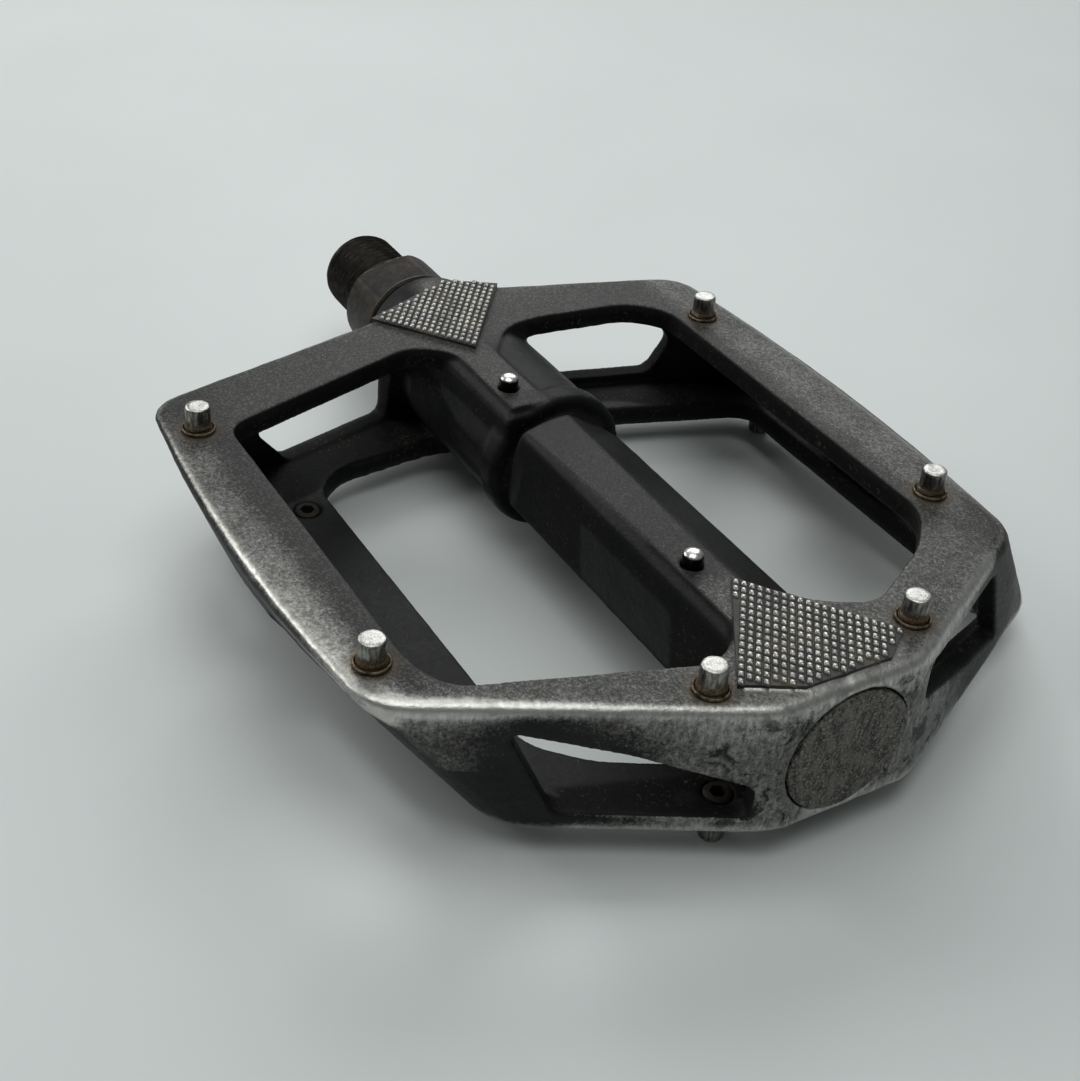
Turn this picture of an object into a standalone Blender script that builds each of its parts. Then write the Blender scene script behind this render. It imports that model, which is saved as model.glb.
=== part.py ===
"""Flat bicycle pedal: cast platform turning on a threaded spindle, with replaceable traction pins.

Frame: +X runs along the spindle from its threaded end outward, +Z is up, and the origin is the
centre of the spindle's threaded end face. The platform repeats itself when it is turned half a
turn about the spindle, so both faces are the same and its section is a leaning parallelogram.
"""
import math

import bmesh
import bpy
from mathutils import Matrix, Vector

MM = 0.001

# ---- driving dimensions, in millimetres -------------------------------------------------------
HALF_THICK = 11.2          # spindle axis to each face of the platform
LEAN = 8.3                 # sideways offset of each face from the spindle axis
HALF_PIN_SPAN = 44.1       # half the distance between the two rows of rail pins
RAIL_EDGE = 5.4            # pin row to the rail's outer edge
RAIL_WIDTH = 9.6           # width of a rail's face
PLATE = 3.6                # thickness of the faces' flanges
WALL = 3.2                 # thickness of the webs and end walls

RAIL_PIN_X = (57.5, 114.5)
END_PIN_X = 136.1
END_PIN_Y = (-18.0, 13.8)
BAR_SCREW_X = (64.8, 114.2)
BAR_SCREW_Y = -5.6

NOSE_X = 143.3             # outboard end face
NOSE_LEFT = 12.6           # outboard end face, each side of the spindle axis
NOSE_RIGHT = 9.8
BEAK_X = 30.5              # inboard tip of the platform
BAR_LEFT = 9.4             # bar's side, from the spindle axis
BAR_FLAT = 2.0             # edge of the bar's flat top
BAR_FACET_Z = 3.8          # height where the bar's sloping facet ends
BAR_CHAMFER = 1.8
BAR_SINK = 1.2             # the bar's top lies this far below the faces beside the collar
BAR_SINK_END = 108.0       # and has risen to them here

THREAD_R = 7.1
THREAD_END = 13.2
COLLAR_R = 9.0
COLLAR_END = 23.2
ACROSS_FLATS = 15.0
FLAT_END = 22.4            # the wrench flats stop short of the collar's end
FLAT_TILT = 15.0           # degrees the flats are turned about the spindle from level
NECK_START = 24.0
NECK_END = 71.5            # the boss round the bush ends in a collar on the bar
BOSS_COLLAR_START = 66.8
BOSS_COLLAR_R = 11.6
NOTCH_R = 8.7              # the bar is grooved to this radius where it leaves the collar
NOTCH_WIDTH = 1.2          # at the bottom of the groove; its far side slopes
NOSE_BOSS_START = 125.0
BOSS_R = 10.8
SEAL_R = 8.3
SEAL_START = 24.4
SEAL_END = 27.2
BUSH_R = 8.0
BUSH_START = 27.8
BUSH_END = 44.0
JOURNAL_R = 7.0
SHAFT_R = 6.5
SLIM_R = 4.6
BORE_R = 7.0
BEARING_START = 128.5
BEARING_WIDTH = 5.0
BEARING_R = 8.0
BEARING_BORE_R = 4.0
PITCH_R = 6.0
BALL_R = 1.15
BALL_COUNT = 9
INNER_FLANK_R = 5.25       # shoulders of the races, each side of the balls
OUTER_FLANK_R = 6.75
SHIELD_WIDTH = 0.25
CAGE_WIDTH = 3.4
CAGE_INNER_R = 5.6
CAGE_OUTER_R = 6.4
WASHER_R = 6.2
NUT_R = 6.3                # over the corners
STUB_R = 3.4               # threaded end of the spindle under the nut
NUT_START = 134.5
NUT_LENGTH = 4.0
SPINDLE_END = 139.4
CAP_R = 9.3
CAP_NECK_R = 7.2
CAP_NECK_LENGTH = 1.75
CAP_START = 140.0
O_RING_SECTION_R = 0.75
RUNNING = 0.05             # radial clearance of parts that turn or seat in each other

PIN_R = 1.8
PIN_THREAD_R = 2.0
PIN_HEIGHT = 4.0
PIN_DEPTH = 3.7
SCREW_R = 1.45
SCREW_HEIGHT = 2.2
SCREW_DEPTH = 4.5
WASHER_OUT_R = 2.75
WASHER_THICK = 0.5
PAD_RISE = 0.6

LEFT_PIN_Y = -LEAN - HALF_PIN_SPAN
RIGHT_PIN_Y = -LEAN + HALF_PIN_SPAN
LEFT_EDGE = LEFT_PIN_Y - RAIL_EDGE
RIGHT_EDGE = RIGHT_PIN_Y + RAIL_EDGE
LEFT_INNER = LEFT_EDGE + RAIL_WIDTH
RIGHT_INNER = RIGHT_EDGE - RAIL_WIDTH

# top face's outline, going round from the inboard tip by way of the left rail
TOP_OUTLINE = [
    (BEAK_X, -2.0),
    (37.7, -17.0),
    (47.9, LEFT_EDGE),
    (120.6, LEFT_EDGE),
    (NOSE_X, -NOSE_LEFT),
    (NOSE_X, NOSE_RIGHT),
    (126.6, RIGHT_EDGE),
    (43.0, RIGHT_EDGE),
    (34.2, 10.0),
    (BEAK_X, 2.0),
]
# radius of each of those corners in plan, and of the edges round both faces
CORNER_R = [5.0, 14.0, 7.0, 9.0, 9.0, 9.0, 9.0, 7.0, 14.0, 5.0]
EDGE_R = 1.6
RAIL_CORNERS = (2, 6)      # each rail's outer side runs from this corner to the next
RAIL_BOW = 1.2             # how far the middle of a rail bows out at the faces
RAIL_BULGE = 3.6           # and how much further at mid-height
# openings in the top face on each side of the bar
LEFT_OPENING = [
    (58.5, LEFT_INNER),
    (116.0, LEFT_INNER),
    (122.0, -46.0),
    (132.4, -14.0),
    (127.5, -8.0),
    (52.0, -8.0),
    (47.8, -14.0),
]
RIGHT_OPENING = [
    (48.2, 3.0),
    (57.0, -4.0),
    (117.5, -4.0),
    (128.0, 5.5),
    (131.3, 12.0),
    (124.0, 25.5),
    (117.5, RIGHT_INNER),
    (53.5, RIGHT_INNER),
    (48.6, 26.5),
    (46.8, 9.0),
]
# raised gripping pads at the two ends of the top face
INBOARD_PAD = [(38.2, -15.8), (52.6, -4.8), (35.2, 8.8), (30.9, 1.2)]
OUTBOARD_PAD = [(119.8, -3.2), (137.4, -15.0), (141.2, -7.5), (141.4, 5.5), (137.8, 10.6)]

parts = bpy.data.collections.new("flat_pedal")
cutters = bpy.data.collections.new("cutters")


def clear_scene():
    for obj in list(bpy.data.objects):
        bpy.data.objects.remove(obj, do_unlink=True)
    bpy.context.scene.collection.children.link(parts)
    bpy.context.scene.collection.children.link(cutters)


def material(name, color, roughness, metallic):
    mat = bpy.data.materials.new(name)
    mat.use_nodes = True
    shader = mat.node_tree.nodes["Principled BSDF"]
    shader.inputs["Base Color"].default_value = (*color, 1.0)
    shader.inputs["Roughness"].default_value = roughness
    shader.inputs["Metallic"].default_value = metallic
    return mat


def mesh_object(name, mesh, collection, mat=None, parent=None):
    obj = bpy.data.objects.new(name, mesh)
    collection.objects.link(obj)
    if mat:
        mesh.materials.append(mat)
    if parent:
        obj.parent = parent
    if collection is cutters:
        obj.hide_render = True
        obj.display_type = "WIRE"
    return obj


def finish_mesh(name, bm):
    bmesh.ops.recalc_face_normals(bm, faces=bm.faces)
    mesh = bpy.data.meshes.new(name)
    bm.to_mesh(mesh)
    bm.free()
    return mesh


def loft(name, low, high, z_low, z_high):
    """Closed solid between two matching outlines at two heights."""
    bm = bmesh.new()
    rings = []
    for outline, z in ((low, z_low), (high, z_high)):
        rings.append([bm.verts.new((x * MM, y * MM, z * MM)) for x, y in outline])
    count = len(low)
    for k in range(count):
        after = (k + 1) % count
        bm.faces.new((rings[0][k], rings[0][after], rings[1][after], rings[1][k]))
    bm.faces.new(rings[0])
    bm.faces.new(rings[1])
    return finish_mesh(name, bm)


def mark_upright_edges(mesh):
    """Give the rising edges the bevel weight 1 and leave the level ones sharp."""
    bm = bmesh.new()
    bm.from_mesh(mesh)
    layer = bm.edges.layers.float.new("bevel_weight_edge")
    for edge in bm.edges:
        rise = abs(edge.verts[0].co.z - edge.verts[1].co.z)
        edge[layer] = 1.0 if rise > 1e-6 else 0.0
    bm.to_mesh(mesh)
    bm.free()


def add_bevel(obj, width, segments=2):
    mod = obj.modifiers.new("rounded edges", "BEVEL")
    mod.limit_method = "WEIGHT"
    mod.width = width * MM
    mod.segments = segments
    mod.use_clamp_overlap = True


def half_turn(outline):
    return [(x, -y) for x, y in reversed(outline)]


def outline_at(z):
    """Platform outline at height z, between the top outline and its half-turned copy."""
    low = half_turn(TOP_OUTLINE)
    share = (z + HALF_THICK) / (2 * HALF_THICK)
    pairs = zip(low, TOP_OUTLINE)
    return [(a[0] + share * (b[0] - a[0]), a[1] + share * (b[1] - a[1])) for a, b in pairs]


def inset(outline, distance):
    """Outline moved inward by a distance, with mitred corners."""
    points = [Vector(p) for p in outline]
    count = len(points)
    area = sum(points[k].cross(points[(k + 1) % count]) for k in range(count))
    turn = 1.0 if area > 0 else -1.0
    moved = []
    for k in range(count):
        before = (points[k] - points[k - 1]).normalized()
        after = (points[(k + 1) % count] - points[k]).normalized()
        normal_a = Vector((-before.y, before.x)) * turn
        normal_b = Vector((-after.y, after.x)) * turn
        mitre = (normal_a + normal_b).normalized()
        moved.append(tuple(points[k] + mitre * distance / mitre.dot(normal_a)))
    return moved


def rounded_corners(outline, radii, steps=4):
    """The outline with each corner drawn as a short curve that touches both of its edges."""
    points = [Vector(p) for p in outline]
    count = len(points)
    curves = []
    for k in range(count):
        back = points[k - 1] - points[k]
        ahead = points[(k + 1) % count] - points[k]
        half_turn_angle = (math.pi - back.angle(ahead)) / 2
        reach = min(radii[k] * math.tan(half_turn_angle), 0.45 * back.length, 0.45 * ahead.length)
        start = points[k] + back.normalized() * reach
        end = points[k] + ahead.normalized() * reach
        curve = []
        for step in range(steps + 1):
            t = step / steps
            curve.append((1 - t) ** 2 * start + 2 * t * (1 - t) * points[k] + t * t * end)
        curves.append(curve)
    return curves


def body_ring(z):
    """Platform's outer section at height z: rounded corners, rounded faces and bowed rails."""
    past = max(0.0, abs(z) - (HALF_THICK - EDGE_R))
    edge_inset = EDGE_R - math.sqrt(EDGE_R ** 2 - past ** 2)
    curves = rounded_corners(inset(outline_at(z), edge_inset), CORNER_R)
    bulge = RAIL_BOW + RAIL_BULGE * (1 - (z / HALF_THICK) ** 2)
    ring = []
    for k, curve in enumerate(curves):
        ring += curve
        if k in RAIL_CORNERS:
            start = curve[-1]
            end = curves[k + 1][0]
            outward = Vector((0.0, math.copysign(1.0, start.y)))
            for step in range(1, 8):
                t = step / 8
                ring.append(start.lerp(end, t) + outward * bulge * (1 - (2 * t - 1) ** 2))
    return ring


def body_mesh():
    """Closed skin of the platform through its sections from the bottom face to the top."""
    turn = [HALF_THICK - EDGE_R * (1 - math.sin(math.radians(a))) for a in (0.0, 30.0, 60.0, 90.0)]
    levels = [-z for z in reversed(turn)] + [-HALF_THICK / 3, HALF_THICK / 3] + turn
    bm = bmesh.new()
    rings = []
    for z in levels:
        rings.append([bm.verts.new((p.x * MM, p.y * MM, z * MM)) for p in body_ring(z)])
    for low, high in zip(rings, rings[1:]):
        for k in range(len(low)):
            after = (k + 1) % len(low)
            bm.faces.new((low[k], low[after], high[after], high[k]))
    bm.faces.new(rings[0])
    bm.faces.new(rings[-1])
    return finish_mesh("platform_body", bm)


def boolean(target, tool, operation="DIFFERENCE"):
    mod = target.modifiers.new(operation.lower(), "BOOLEAN")
    mod.operation = operation
    mod.object = tool
    mod.solver = "EXACT"


def revolve(name, profile, collection, mat=None, parent=None, steps=28):
    """Turned solid about +X; the profile is (x, radius) from one end to the other."""
    bm = bmesh.new()
    verts = [bm.verts.new((r * MM, 0.0, -x * MM)) for x, r in profile]
    for a, b in zip(verts, verts[1:]):
        bm.edges.new((a, b))
    mesh = bpy.data.meshes.new(name)
    bm.to_mesh(mesh)
    bm.free()
    obj = mesh_object(name, mesh, collection, mat, parent)
    screw = obj.modifiers.new("turned", "SCREW")
    screw.axis = "Z"
    screw.steps = steps
    screw.render_steps = steps
    screw.use_merge_vertices = True
    screw.merge_threshold = 1e-6
    obj.rotation_euler = (0.0, -math.pi / 2, 0.0)
    return obj


def turned_ring(name, x_start, x_end, r_in, r_out, mat, parent, chamfer=0.2, steps=28):
    """Ring about the spindle axis with small chamfers on its outer corners."""
    profile = [
        (x_start, r_in),
        (x_start, r_out - chamfer),
        (x_start + chamfer, r_out),
        (x_end - chamfer, r_out),
        (x_end, r_out - chamfer),
        (x_end, r_in),
        (x_start, r_in),
    ]
    return revolve(name, profile, parts, mat, parent, steps)


def cylinder_mesh(name, radius, depth, sides=24):
    bm = bmesh.new()
    bmesh.ops.create_cone(
        bm, cap_ends=True, segments=sides, radius1=radius * MM, radius2=radius * MM, depth=depth * MM
    )
    return finish_mesh(name, bm)


def prism(name, outline, z_low, z_high, upright=0.0):
    mesh = loft(name, outline, outline, z_low, z_high)
    obj = mesh_object(name, mesh, cutters)
    if upright:
        mark_upright_edges(mesh)
        add_bevel(obj, upright, 3)
    return obj


def turned_over(tool):
    """The same tool moved half a turn about the spindle axis."""
    twin = mesh_object(tool.name + "_twin", tool.data, cutters)
    for mod in tool.modifiers:
        add_bevel(twin, mod.width / MM, mod.segments)
    twin.matrix_world = Matrix.Rotation(math.pi, 4, "X") @ tool.matrix_world
    return twin


def wall_tool(name, start, end, outline, depth=14.0, corner=1.2):
    """Prism through a wall that runs from start to end in plan; outline is (along, height)."""
    begin = Vector(start)
    along = (Vector(end) - begin).normalized()
    across = Vector((-along.y, along.x))
    mesh = loft(name, outline, outline, -depth / 2, depth / 2)
    obj = mesh_object(name, mesh, cutters)
    mark_upright_edges(mesh)
    add_bevel(obj, corner)
    obj.matrix_world = Matrix((
        (along.x, 0.0, across.x, begin.x * MM),
        (along.y, 0.0, across.y, begin.y * MM),
        (0.0, 1.0, 0.0, 0.0),
        (0.0, 0.0, 0.0, 1.0),
    ))
    return obj


def bar_section():
    """Section of the central bar in (y, z), running past both faces."""
    slope = (BAR_LEFT + BAR_FLAT) / (HALF_THICK - BAR_FACET_Z)
    over = HALF_THICK + 3.0
    top_edge = -BAR_FLAT - (over - HALF_THICK) * slope
    half = [
        (-BAR_LEFT, HALF_THICK - BAR_CHAMFER),
        (-BAR_LEFT + BAR_CHAMFER, HALF_THICK),
        (-BAR_LEFT + BAR_CHAMFER, over),
        (top_edge, over),
        (BAR_LEFT, BAR_FACET_Z),
    ]
    return half + [(-y, -z) for y, z in half]


def bar_tool():
    bm = bmesh.new()
    rings = []
    for x in (20.0, 160.0):
        rings.append([bm.verts.new((x * MM, y * MM, z * MM)) for y, z in bar_section()])
    count = len(rings[0])
    for k in range(count):
        after = (k + 1) % count
        bm.faces.new((rings[0][k], rings[0][after], rings[1][after], rings[1][k]))
    bm.faces.new(rings[0])
    bm.faces.new(rings[1])
    return mesh_object("bar_tool", finish_mesh("bar_tool", bm), cutters)


def bar_sink_tool():
    """Wedge that lowers the bar's top beyond the collar, to nothing at its outboard end."""
    start = NECK_END - 1.0
    slope = BAR_SINK / (BAR_SINK_END - NECK_END)
    side = [
        (start, HALF_THICK - BAR_SINK),
        (NECK_END, HALF_THICK - BAR_SINK),
        (BAR_SINK_END + 6.0, HALF_THICK + 6.0 * slope),
        (BAR_SINK_END + 6.0, HALF_THICK + 3.0),
        (start, HALF_THICK + 3.0),
    ]
    mesh = loft("bar_sink_tool", side, side, -BAR_LEFT - 0.5, BAR_LEFT + 0.5)
    tool = mesh_object("bar_sink_tool", mesh, cutters)
    tool.matrix_world = Matrix.Rotation(math.pi / 2, 4, "X")
    return tool


def hollow_tool():
    """All the space inside the frame, on both sides of the bar."""
    level = HALF_THICK - PLATE
    hull = [1, 2, 3, 4, 5, 6, 7, 8]
    low = [outline_at(-level)[k] for k in hull]
    high = [outline_at(level)[k] for k in hull]
    mesh = loft("hollow_tool", inset(low, WALL), inset(high, WALL), -level, level)
    hollow = mesh_object("hollow_tool", mesh, cutters)
    for side, outline in (("left", LEFT_OPENING), ("right", RIGHT_OPENING)):
        tool = prism(side + "_opening_tool", outline, level - 2.0, HALF_THICK + 2.0, upright=2.6)
        boolean(hollow, tool, "UNION")
        boolean(hollow, turned_over(tool), "UNION")
    boolean(hollow, bar_tool())
    return hollow


def wall_window_tools():
    """Windows in the four end walls and the two rail webs."""
    tools = []
    middle = (LEFT_EDGE - RIGHT_EDGE) / 2
    outboard = [(12.5, -7.7), (12.5, -2.3), (29.0, 3.4), (43.5, 6.8), (37.0, -7.5)]
    nose_left = (NOSE_X - 1.0, 0.0)
    outboard_corner = ((TOP_OUTLINE[3][0] + TOP_OUTLINE[6][0]) / 2, middle)
    tools.append(wall_tool("outboard_window_tool", nose_left, outboard_corner, outboard))
    inboard = [(14.0, -7.2), (14.0, 2.0), (20.0, 6.0), (37.5, 6.0), (41.0, 0.0), (35.0, -7.2)]
    inboard_corner = ((TOP_OUTLINE[2][0] + TOP_OUTLINE[7][0]) / 2, middle)
    tools.append(wall_tool("inboard_window_tool", (32.5, 0.0), inboard_corner, inboard))
    for name, x_in, x_out in (("inner", 56.0, 77.0), ("outer", 95.0, 116.0)):
        lean = 2.0 if name == "inner" else -2.0
        web = [(x_in, -5.6), (x_out - lean, -5.6), (x_out, 5.6), (x_in + lean, 5.6)]
        tool = wall_tool("web_window_tool_" + name, (0.0, middle), (1.0, middle), web, depth=22.0)
        tools.append(tool)
    return tools


def bore_tool():
    """The stepped bore that takes the spindle, seal, bush, bearing and cap."""
    profile = [
        (10.0, 0.0),
        (10.0, SEAL_R + RUNNING),
        (SEAL_END + 0.1, SEAL_R + RUNNING),
        (SEAL_END + 0.1, BUSH_R + RUNNING),
        (BUSH_END + 0.2, BUSH_R + RUNNING),
        (BUSH_END + 0.2, BORE_R),
        (BEARING_START - 0.1, BORE_R),
        (BEARING_START - 0.1, BEARING_R + RUNNING),
        (CAP_START - 0.1, BEARING_R + RUNNING),
        (CAP_START - 0.1, CAP_R + 0.2),
        (150.0, CAP_R + 0.2),
        (150.0, 0.0),
    ]
    return revolve("bore_tool", profile, cutters)


def pin_places():
    """(name, x, y, upside_down) of every traction pin."""
    top = [(x, y) for y in (LEFT_PIN_Y, RIGHT_PIN_Y) for x in RAIL_PIN_X]
    top += [(END_PIN_X, y) for y in END_PIN_Y]
    places = []
    for number, (x, y) in enumerate(top, start=1):
        places.append(("top_%d" % number, x, y, False))
        places.append(("bottom_%d" % number, x, -y, True))
    return places


def screw_places():
    places = []
    for number, x in enumerate(BAR_SCREW_X, start=1):
        places.append(("top_%d" % number, x, BAR_SCREW_Y, False))
        places.append(("bottom_%d" % number, x, -BAR_SCREW_Y, True))
    return places


def place_on_face(obj, x, y, upside_down):
    side = -1.0 if upside_down else 1.0
    obj.location = (x * MM, y * MM, side * HALF_THICK * MM)
    if upside_down:
        obj.rotation_euler = (math.pi, 0.0, 0.0)


def make_body(mat, parent):
    """The cast platform: leaning outer form, less its openings, with bosses, pads and bores."""
    body = mesh_object("platform_body", body_mesh(), parts, mat, parent)
    boolean(body, hollow_tool())
    for tool in wall_window_tools() + [bar_sink_tool()]:
        boolean(body, tool)
        boolean(body, turned_over(tool))
    neck = [
        (NECK_START, 0.0),
        (NECK_START, BOSS_R - 1.6),
        (NECK_START + 2.0, BOSS_R - 0.5),
        (NECK_START + 4.0, BOSS_R),
        (BOSS_COLLAR_START, BOSS_R),
        (BOSS_COLLAR_START + 1.2, BOSS_COLLAR_R),
        (NECK_END - 0.6, BOSS_COLLAR_R),
        (NECK_END, BOSS_COLLAR_R - 0.6),
        (NECK_END, 0.0),
    ]
    nose = [
        (NOSE_BOSS_START, 0.0),
        (NOSE_BOSS_START, BOSS_R),
        (NOSE_X - 1.2, BOSS_R),
        (NOSE_X - 1.2, 0.0),
    ]
    notch = [
        (NECK_END, NOTCH_R),
        (NECK_END, 15.0),
        (NECK_END + NOTCH_WIDTH + 3.4, 15.0),
        (NECK_END + NOTCH_WIDTH, NOTCH_R),
        (NECK_END, NOTCH_R),
    ]
    boolean(body, revolve("notch_tool", notch, cutters, steps=36))
    for name, profile in (("neck_tool", neck), ("nose_tool", nose)):
        boolean(body, revolve(name, profile, cutters, steps=36), "UNION")
    for name, outline in (("inboard_pad_tool", INBOARD_PAD), ("outboard_pad_tool", OUTBOARD_PAD)):
        pad = prism(name, outline, HALF_THICK - 1.5, HALF_THICK + PAD_RISE, upright=0.6)
        boolean(body, pad, "UNION")
        boolean(body, turned_over(pad), "UNION")
    boolean(body, bore_tool())
    drill(body, "pin_hole_tool", PIN_THREAD_R + RUNNING, PIN_DEPTH + 0.2, pin_places())
    drill(body, "screw_hole_tool", SCREW_R + RUNNING, SCREW_DEPTH + 0.3, screw_places())


def drill(body, name, radius, depth, places):
    """Blind holes of one size, sunk from the platform's faces."""
    length = depth + 1.5
    mesh = cylinder_mesh(name, radius, length, 16)
    for tag, x, y, upside_down in places:
        tool = mesh_object(name + "_" + tag, mesh, cutters)
        side = -1.0 if upside_down else 1.0
        tool.location = (x * MM, y * MM, side * (HALF_THICK - depth + length / 2) * MM)
        boolean(body, tool)


def make_spindle(mat):
    collar_front = THREAD_END + 0.7
    profile = [
        (0.0, 0.0),
        (0.0, THREAD_R - 0.9),
        (0.9, THREAD_R),
        (THREAD_END, THREAD_R),
        (THREAD_END, COLLAR_R - 0.7),
        (collar_front, COLLAR_R),
        (COLLAR_END - 0.3, COLLAR_R),
        (COLLAR_END, COLLAR_R - 0.3),
        (COLLAR_END, JOURNAL_R),
        (BUSH_START - 0.3, JOURNAL_R),
        (BUSH_START - 0.3, SHAFT_R),
        (BUSH_END + 1.5, SHAFT_R),
        (60.0, SLIM_R),
        (BEARING_START - 0.1, SLIM_R),
        (BEARING_START - 0.1, BEARING_BORE_R),
        (NUT_START, BEARING_BORE_R),
        (NUT_START, STUB_R),
        (SPINDLE_END - 0.4, STUB_R),
        (SPINDLE_END, STUB_R - 0.4),
        (SPINDLE_END, 0.0),
    ]
    spindle = revolve("spindle", profile, parts, mat, steps=32)
    tilt = math.radians(FLAT_TILT)
    length = 2 * (FLAT_END - THREAD_END)
    deep = 10.0
    for number, side in enumerate((1.0, -1.0), start=1):
        bm = bmesh.new()
        bmesh.ops.create_cube(bm, size=1.0)
        bmesh.ops.scale(bm, vec=(length * MM, 30.0 * MM, deep * MM), verts=bm.verts)
        flat = mesh_object("wrench_flat_tool_%d" % number, finish_mesh("wrench_flat_tool", bm), cutters)
        distance = side * (ACROSS_FLATS + deep) / 2 * MM
        flat.location = (THREAD_END * MM, -math.sin(tilt) * distance, math.cos(tilt) * distance)
        flat.rotation_euler = (tilt, 0.0, 0.0)
        boolean(spindle, flat)
    return spindle


def make_bearing(steel, brass, seal_mat, spin, ball_spin):
    start = BEARING_START
    end = start + BEARING_WIDTH
    middle = (start + end) / 2
    groove = BALL_R + RUNNING

    def raceway(name, r_side, r_flank, direction, mat, parent):
        """Race with its groove: r_side is the plain side, r_flank the grooved one."""
        arc = []
        for k in range(7):
            angle = math.radians(30.0 + 20.0 * k)
            arc.append((middle - groove * math.cos(angle), PITCH_R + direction * groove * math.sin(angle)))
        arc = [p for p in arc if (p[1] - r_flank) * direction > 0]
        profile = [(start, r_side), (start, r_flank)] + arc
        profile += [(end, r_flank), (end, r_side), (start, r_side)]
        if direction > 0:
            profile.reverse()
        return revolve(name, profile, parts, mat, parent)

    raceway("bearing_inner_race", BEARING_BORE_R + RUNNING, INNER_FLANK_R, -1.0, steel, None)
    raceway("bearing_outer_race", BEARING_R, OUTER_FLANK_R, 1.0, steel, spin)
    shields = (("inboard", start + SHIELD_WIDTH), ("outboard", end - 2 * SHIELD_WIDTH))
    for side, x in shields:
        turned_ring("bearing_shield_" + side, x, x + SHIELD_WIDTH, INNER_FLANK_R + 0.1,
                    OUTER_FLANK_R - 0.07, seal_mat, spin, chamfer=0.05)
    cage_start = middle - CAGE_WIDTH / 2
    cage = turned_ring("ball_cage", cage_start, cage_start + CAGE_WIDTH, CAGE_INNER_R, CAGE_OUTER_R,
                       brass, ball_spin, chamfer=0.05)
    pocket = cylinder_mesh("pocket_tool", BALL_R + 0.12, 4.0, 12)
    bm = bmesh.new()
    bmesh.ops.create_uvsphere(bm, u_segments=12, v_segments=8, radius=BALL_R * MM)
    ball_mesh = finish_mesh("bearing_ball", bm)
    ball_mesh.materials.append(steel)
    for k in range(BALL_COUNT):
        angle = 2 * math.pi * k / BALL_COUNT
        centre = Vector((middle, PITCH_R * math.cos(angle), PITCH_R * math.sin(angle))) * MM
        tool = mesh_object("pocket_tool_%d" % (k + 1), pocket, cutters)
        tool.location = centre
        tool.rotation_euler = (angle - math.pi / 2, 0.0, 0.0)
        boolean(cage, tool)
        ball = bpy.data.objects.new("bearing_ball_%d" % (k + 1), ball_mesh)
        parts.objects.link(ball)
        ball.parent = ball_spin
        ball.location = centre


def make_spindle_hardware(steel):
    washer_start = BEARING_START + BEARING_WIDTH + 0.15
    turned_ring("lock_washer", washer_start, washer_start + 0.8, BEARING_BORE_R + RUNNING, WASHER_R,
                steel, None, chamfer=0.1)
    nut_start = NUT_START + RUNNING
    nut = mesh_object("lock_nut", cylinder_mesh("lock_nut", NUT_R, NUT_LENGTH - 0.1, 6), parts, steel)
    nut.rotation_euler = (0.0, math.pi / 2, 0.0)
    nut.location = ((nut_start + NUT_LENGTH / 2) * MM, 0.0, 0.0)
    hole = mesh_object("nut_hole_tool", cylinder_mesh("nut_hole_tool", STUB_R + 0.1, 9.0, 24), cutters)
    hole.rotation_euler = nut.rotation_euler
    hole.location = nut.location
    boolean(nut, hole)


def make_seals_and_cap(rubber, bronze, cap_mat, spin):
    turned_ring("inboard_seal", SEAL_START, SEAL_END, JOURNAL_R + RUNNING, SEAL_R, rubber, spin, chamfer=0.4)
    turned_ring("inboard_bush", BUSH_START, BUSH_END, SHAFT_R + RUNNING, BUSH_R, bronze, spin, chamfer=0.3)
    profile = [
        (CAP_START, 0.0),
        (CAP_START, CAP_NECK_R),
        (CAP_START + CAP_NECK_LENGTH, CAP_NECK_R),
        (CAP_START + CAP_NECK_LENGTH, CAP_R),
        (NOSE_X - 0.1, CAP_R),
        (NOSE_X + 0.2, CAP_R - 0.4),
        (NOSE_X + 0.35, 5.0),
        (NOSE_X + 0.35, 0.0),
    ]
    revolve("end_cap", profile, parts, cap_mat, spin, steps=36)
    middle = CAP_START + CAP_NECK_LENGTH / 2
    ring_r = CAP_NECK_R + 0.1 + O_RING_SECTION_R
    ring_profile = []
    for k in range(9):
        angle = 2 * math.pi * k / 8
        x = middle - O_RING_SECTION_R * math.sin(angle)
        ring_profile.append((x, ring_r + O_RING_SECTION_R * math.cos(angle)))
    revolve("cap_o_ring", ring_profile[::-1], parts, rubber, spin)


def stud_mesh(name, profile, mat):
    """Headless screw about +Z: outer profile as (height, radius) from the top."""
    bm = bmesh.new()
    sides = 16
    rings = []
    for height, radius in profile:
        ring = []
        for k in range(sides):
            angle = 2 * math.pi * k / sides
            place = Vector((radius * math.cos(angle), radius * math.sin(angle), height))
            ring.append(bm.verts.new(place * MM))
        rings.append(ring)
    for upper, lower in zip(rings, rings[1:]):
        for k in range(sides):
            after = (k + 1) % sides
            bm.faces.new((upper[k], lower[k], lower[after], upper[after]))
    bm.faces.new(rings[0])
    bm.faces.new(rings[-1])
    mesh = finish_mesh(name, bm)
    mesh.materials.append(mat)
    return mesh


def make_studs(name, places, mesh, socket_mesh, socket_height, spin):
    for tag, x, y, upside_down in places:
        stud = bpy.data.objects.new("%s_%s" % (name, tag), mesh)
        parts.objects.link(stud)
        stud.parent = spin
        place_on_face(stud, x, y, upside_down)
        tool = mesh_object("%s_socket_tool_%s" % (name, tag), socket_mesh, cutters)
        side = -1.0 if upside_down else 1.0
        tool.location = (x * MM, y * MM, side * (HALF_THICK + socket_height) * MM)
        boolean(stud, tool)


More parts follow.
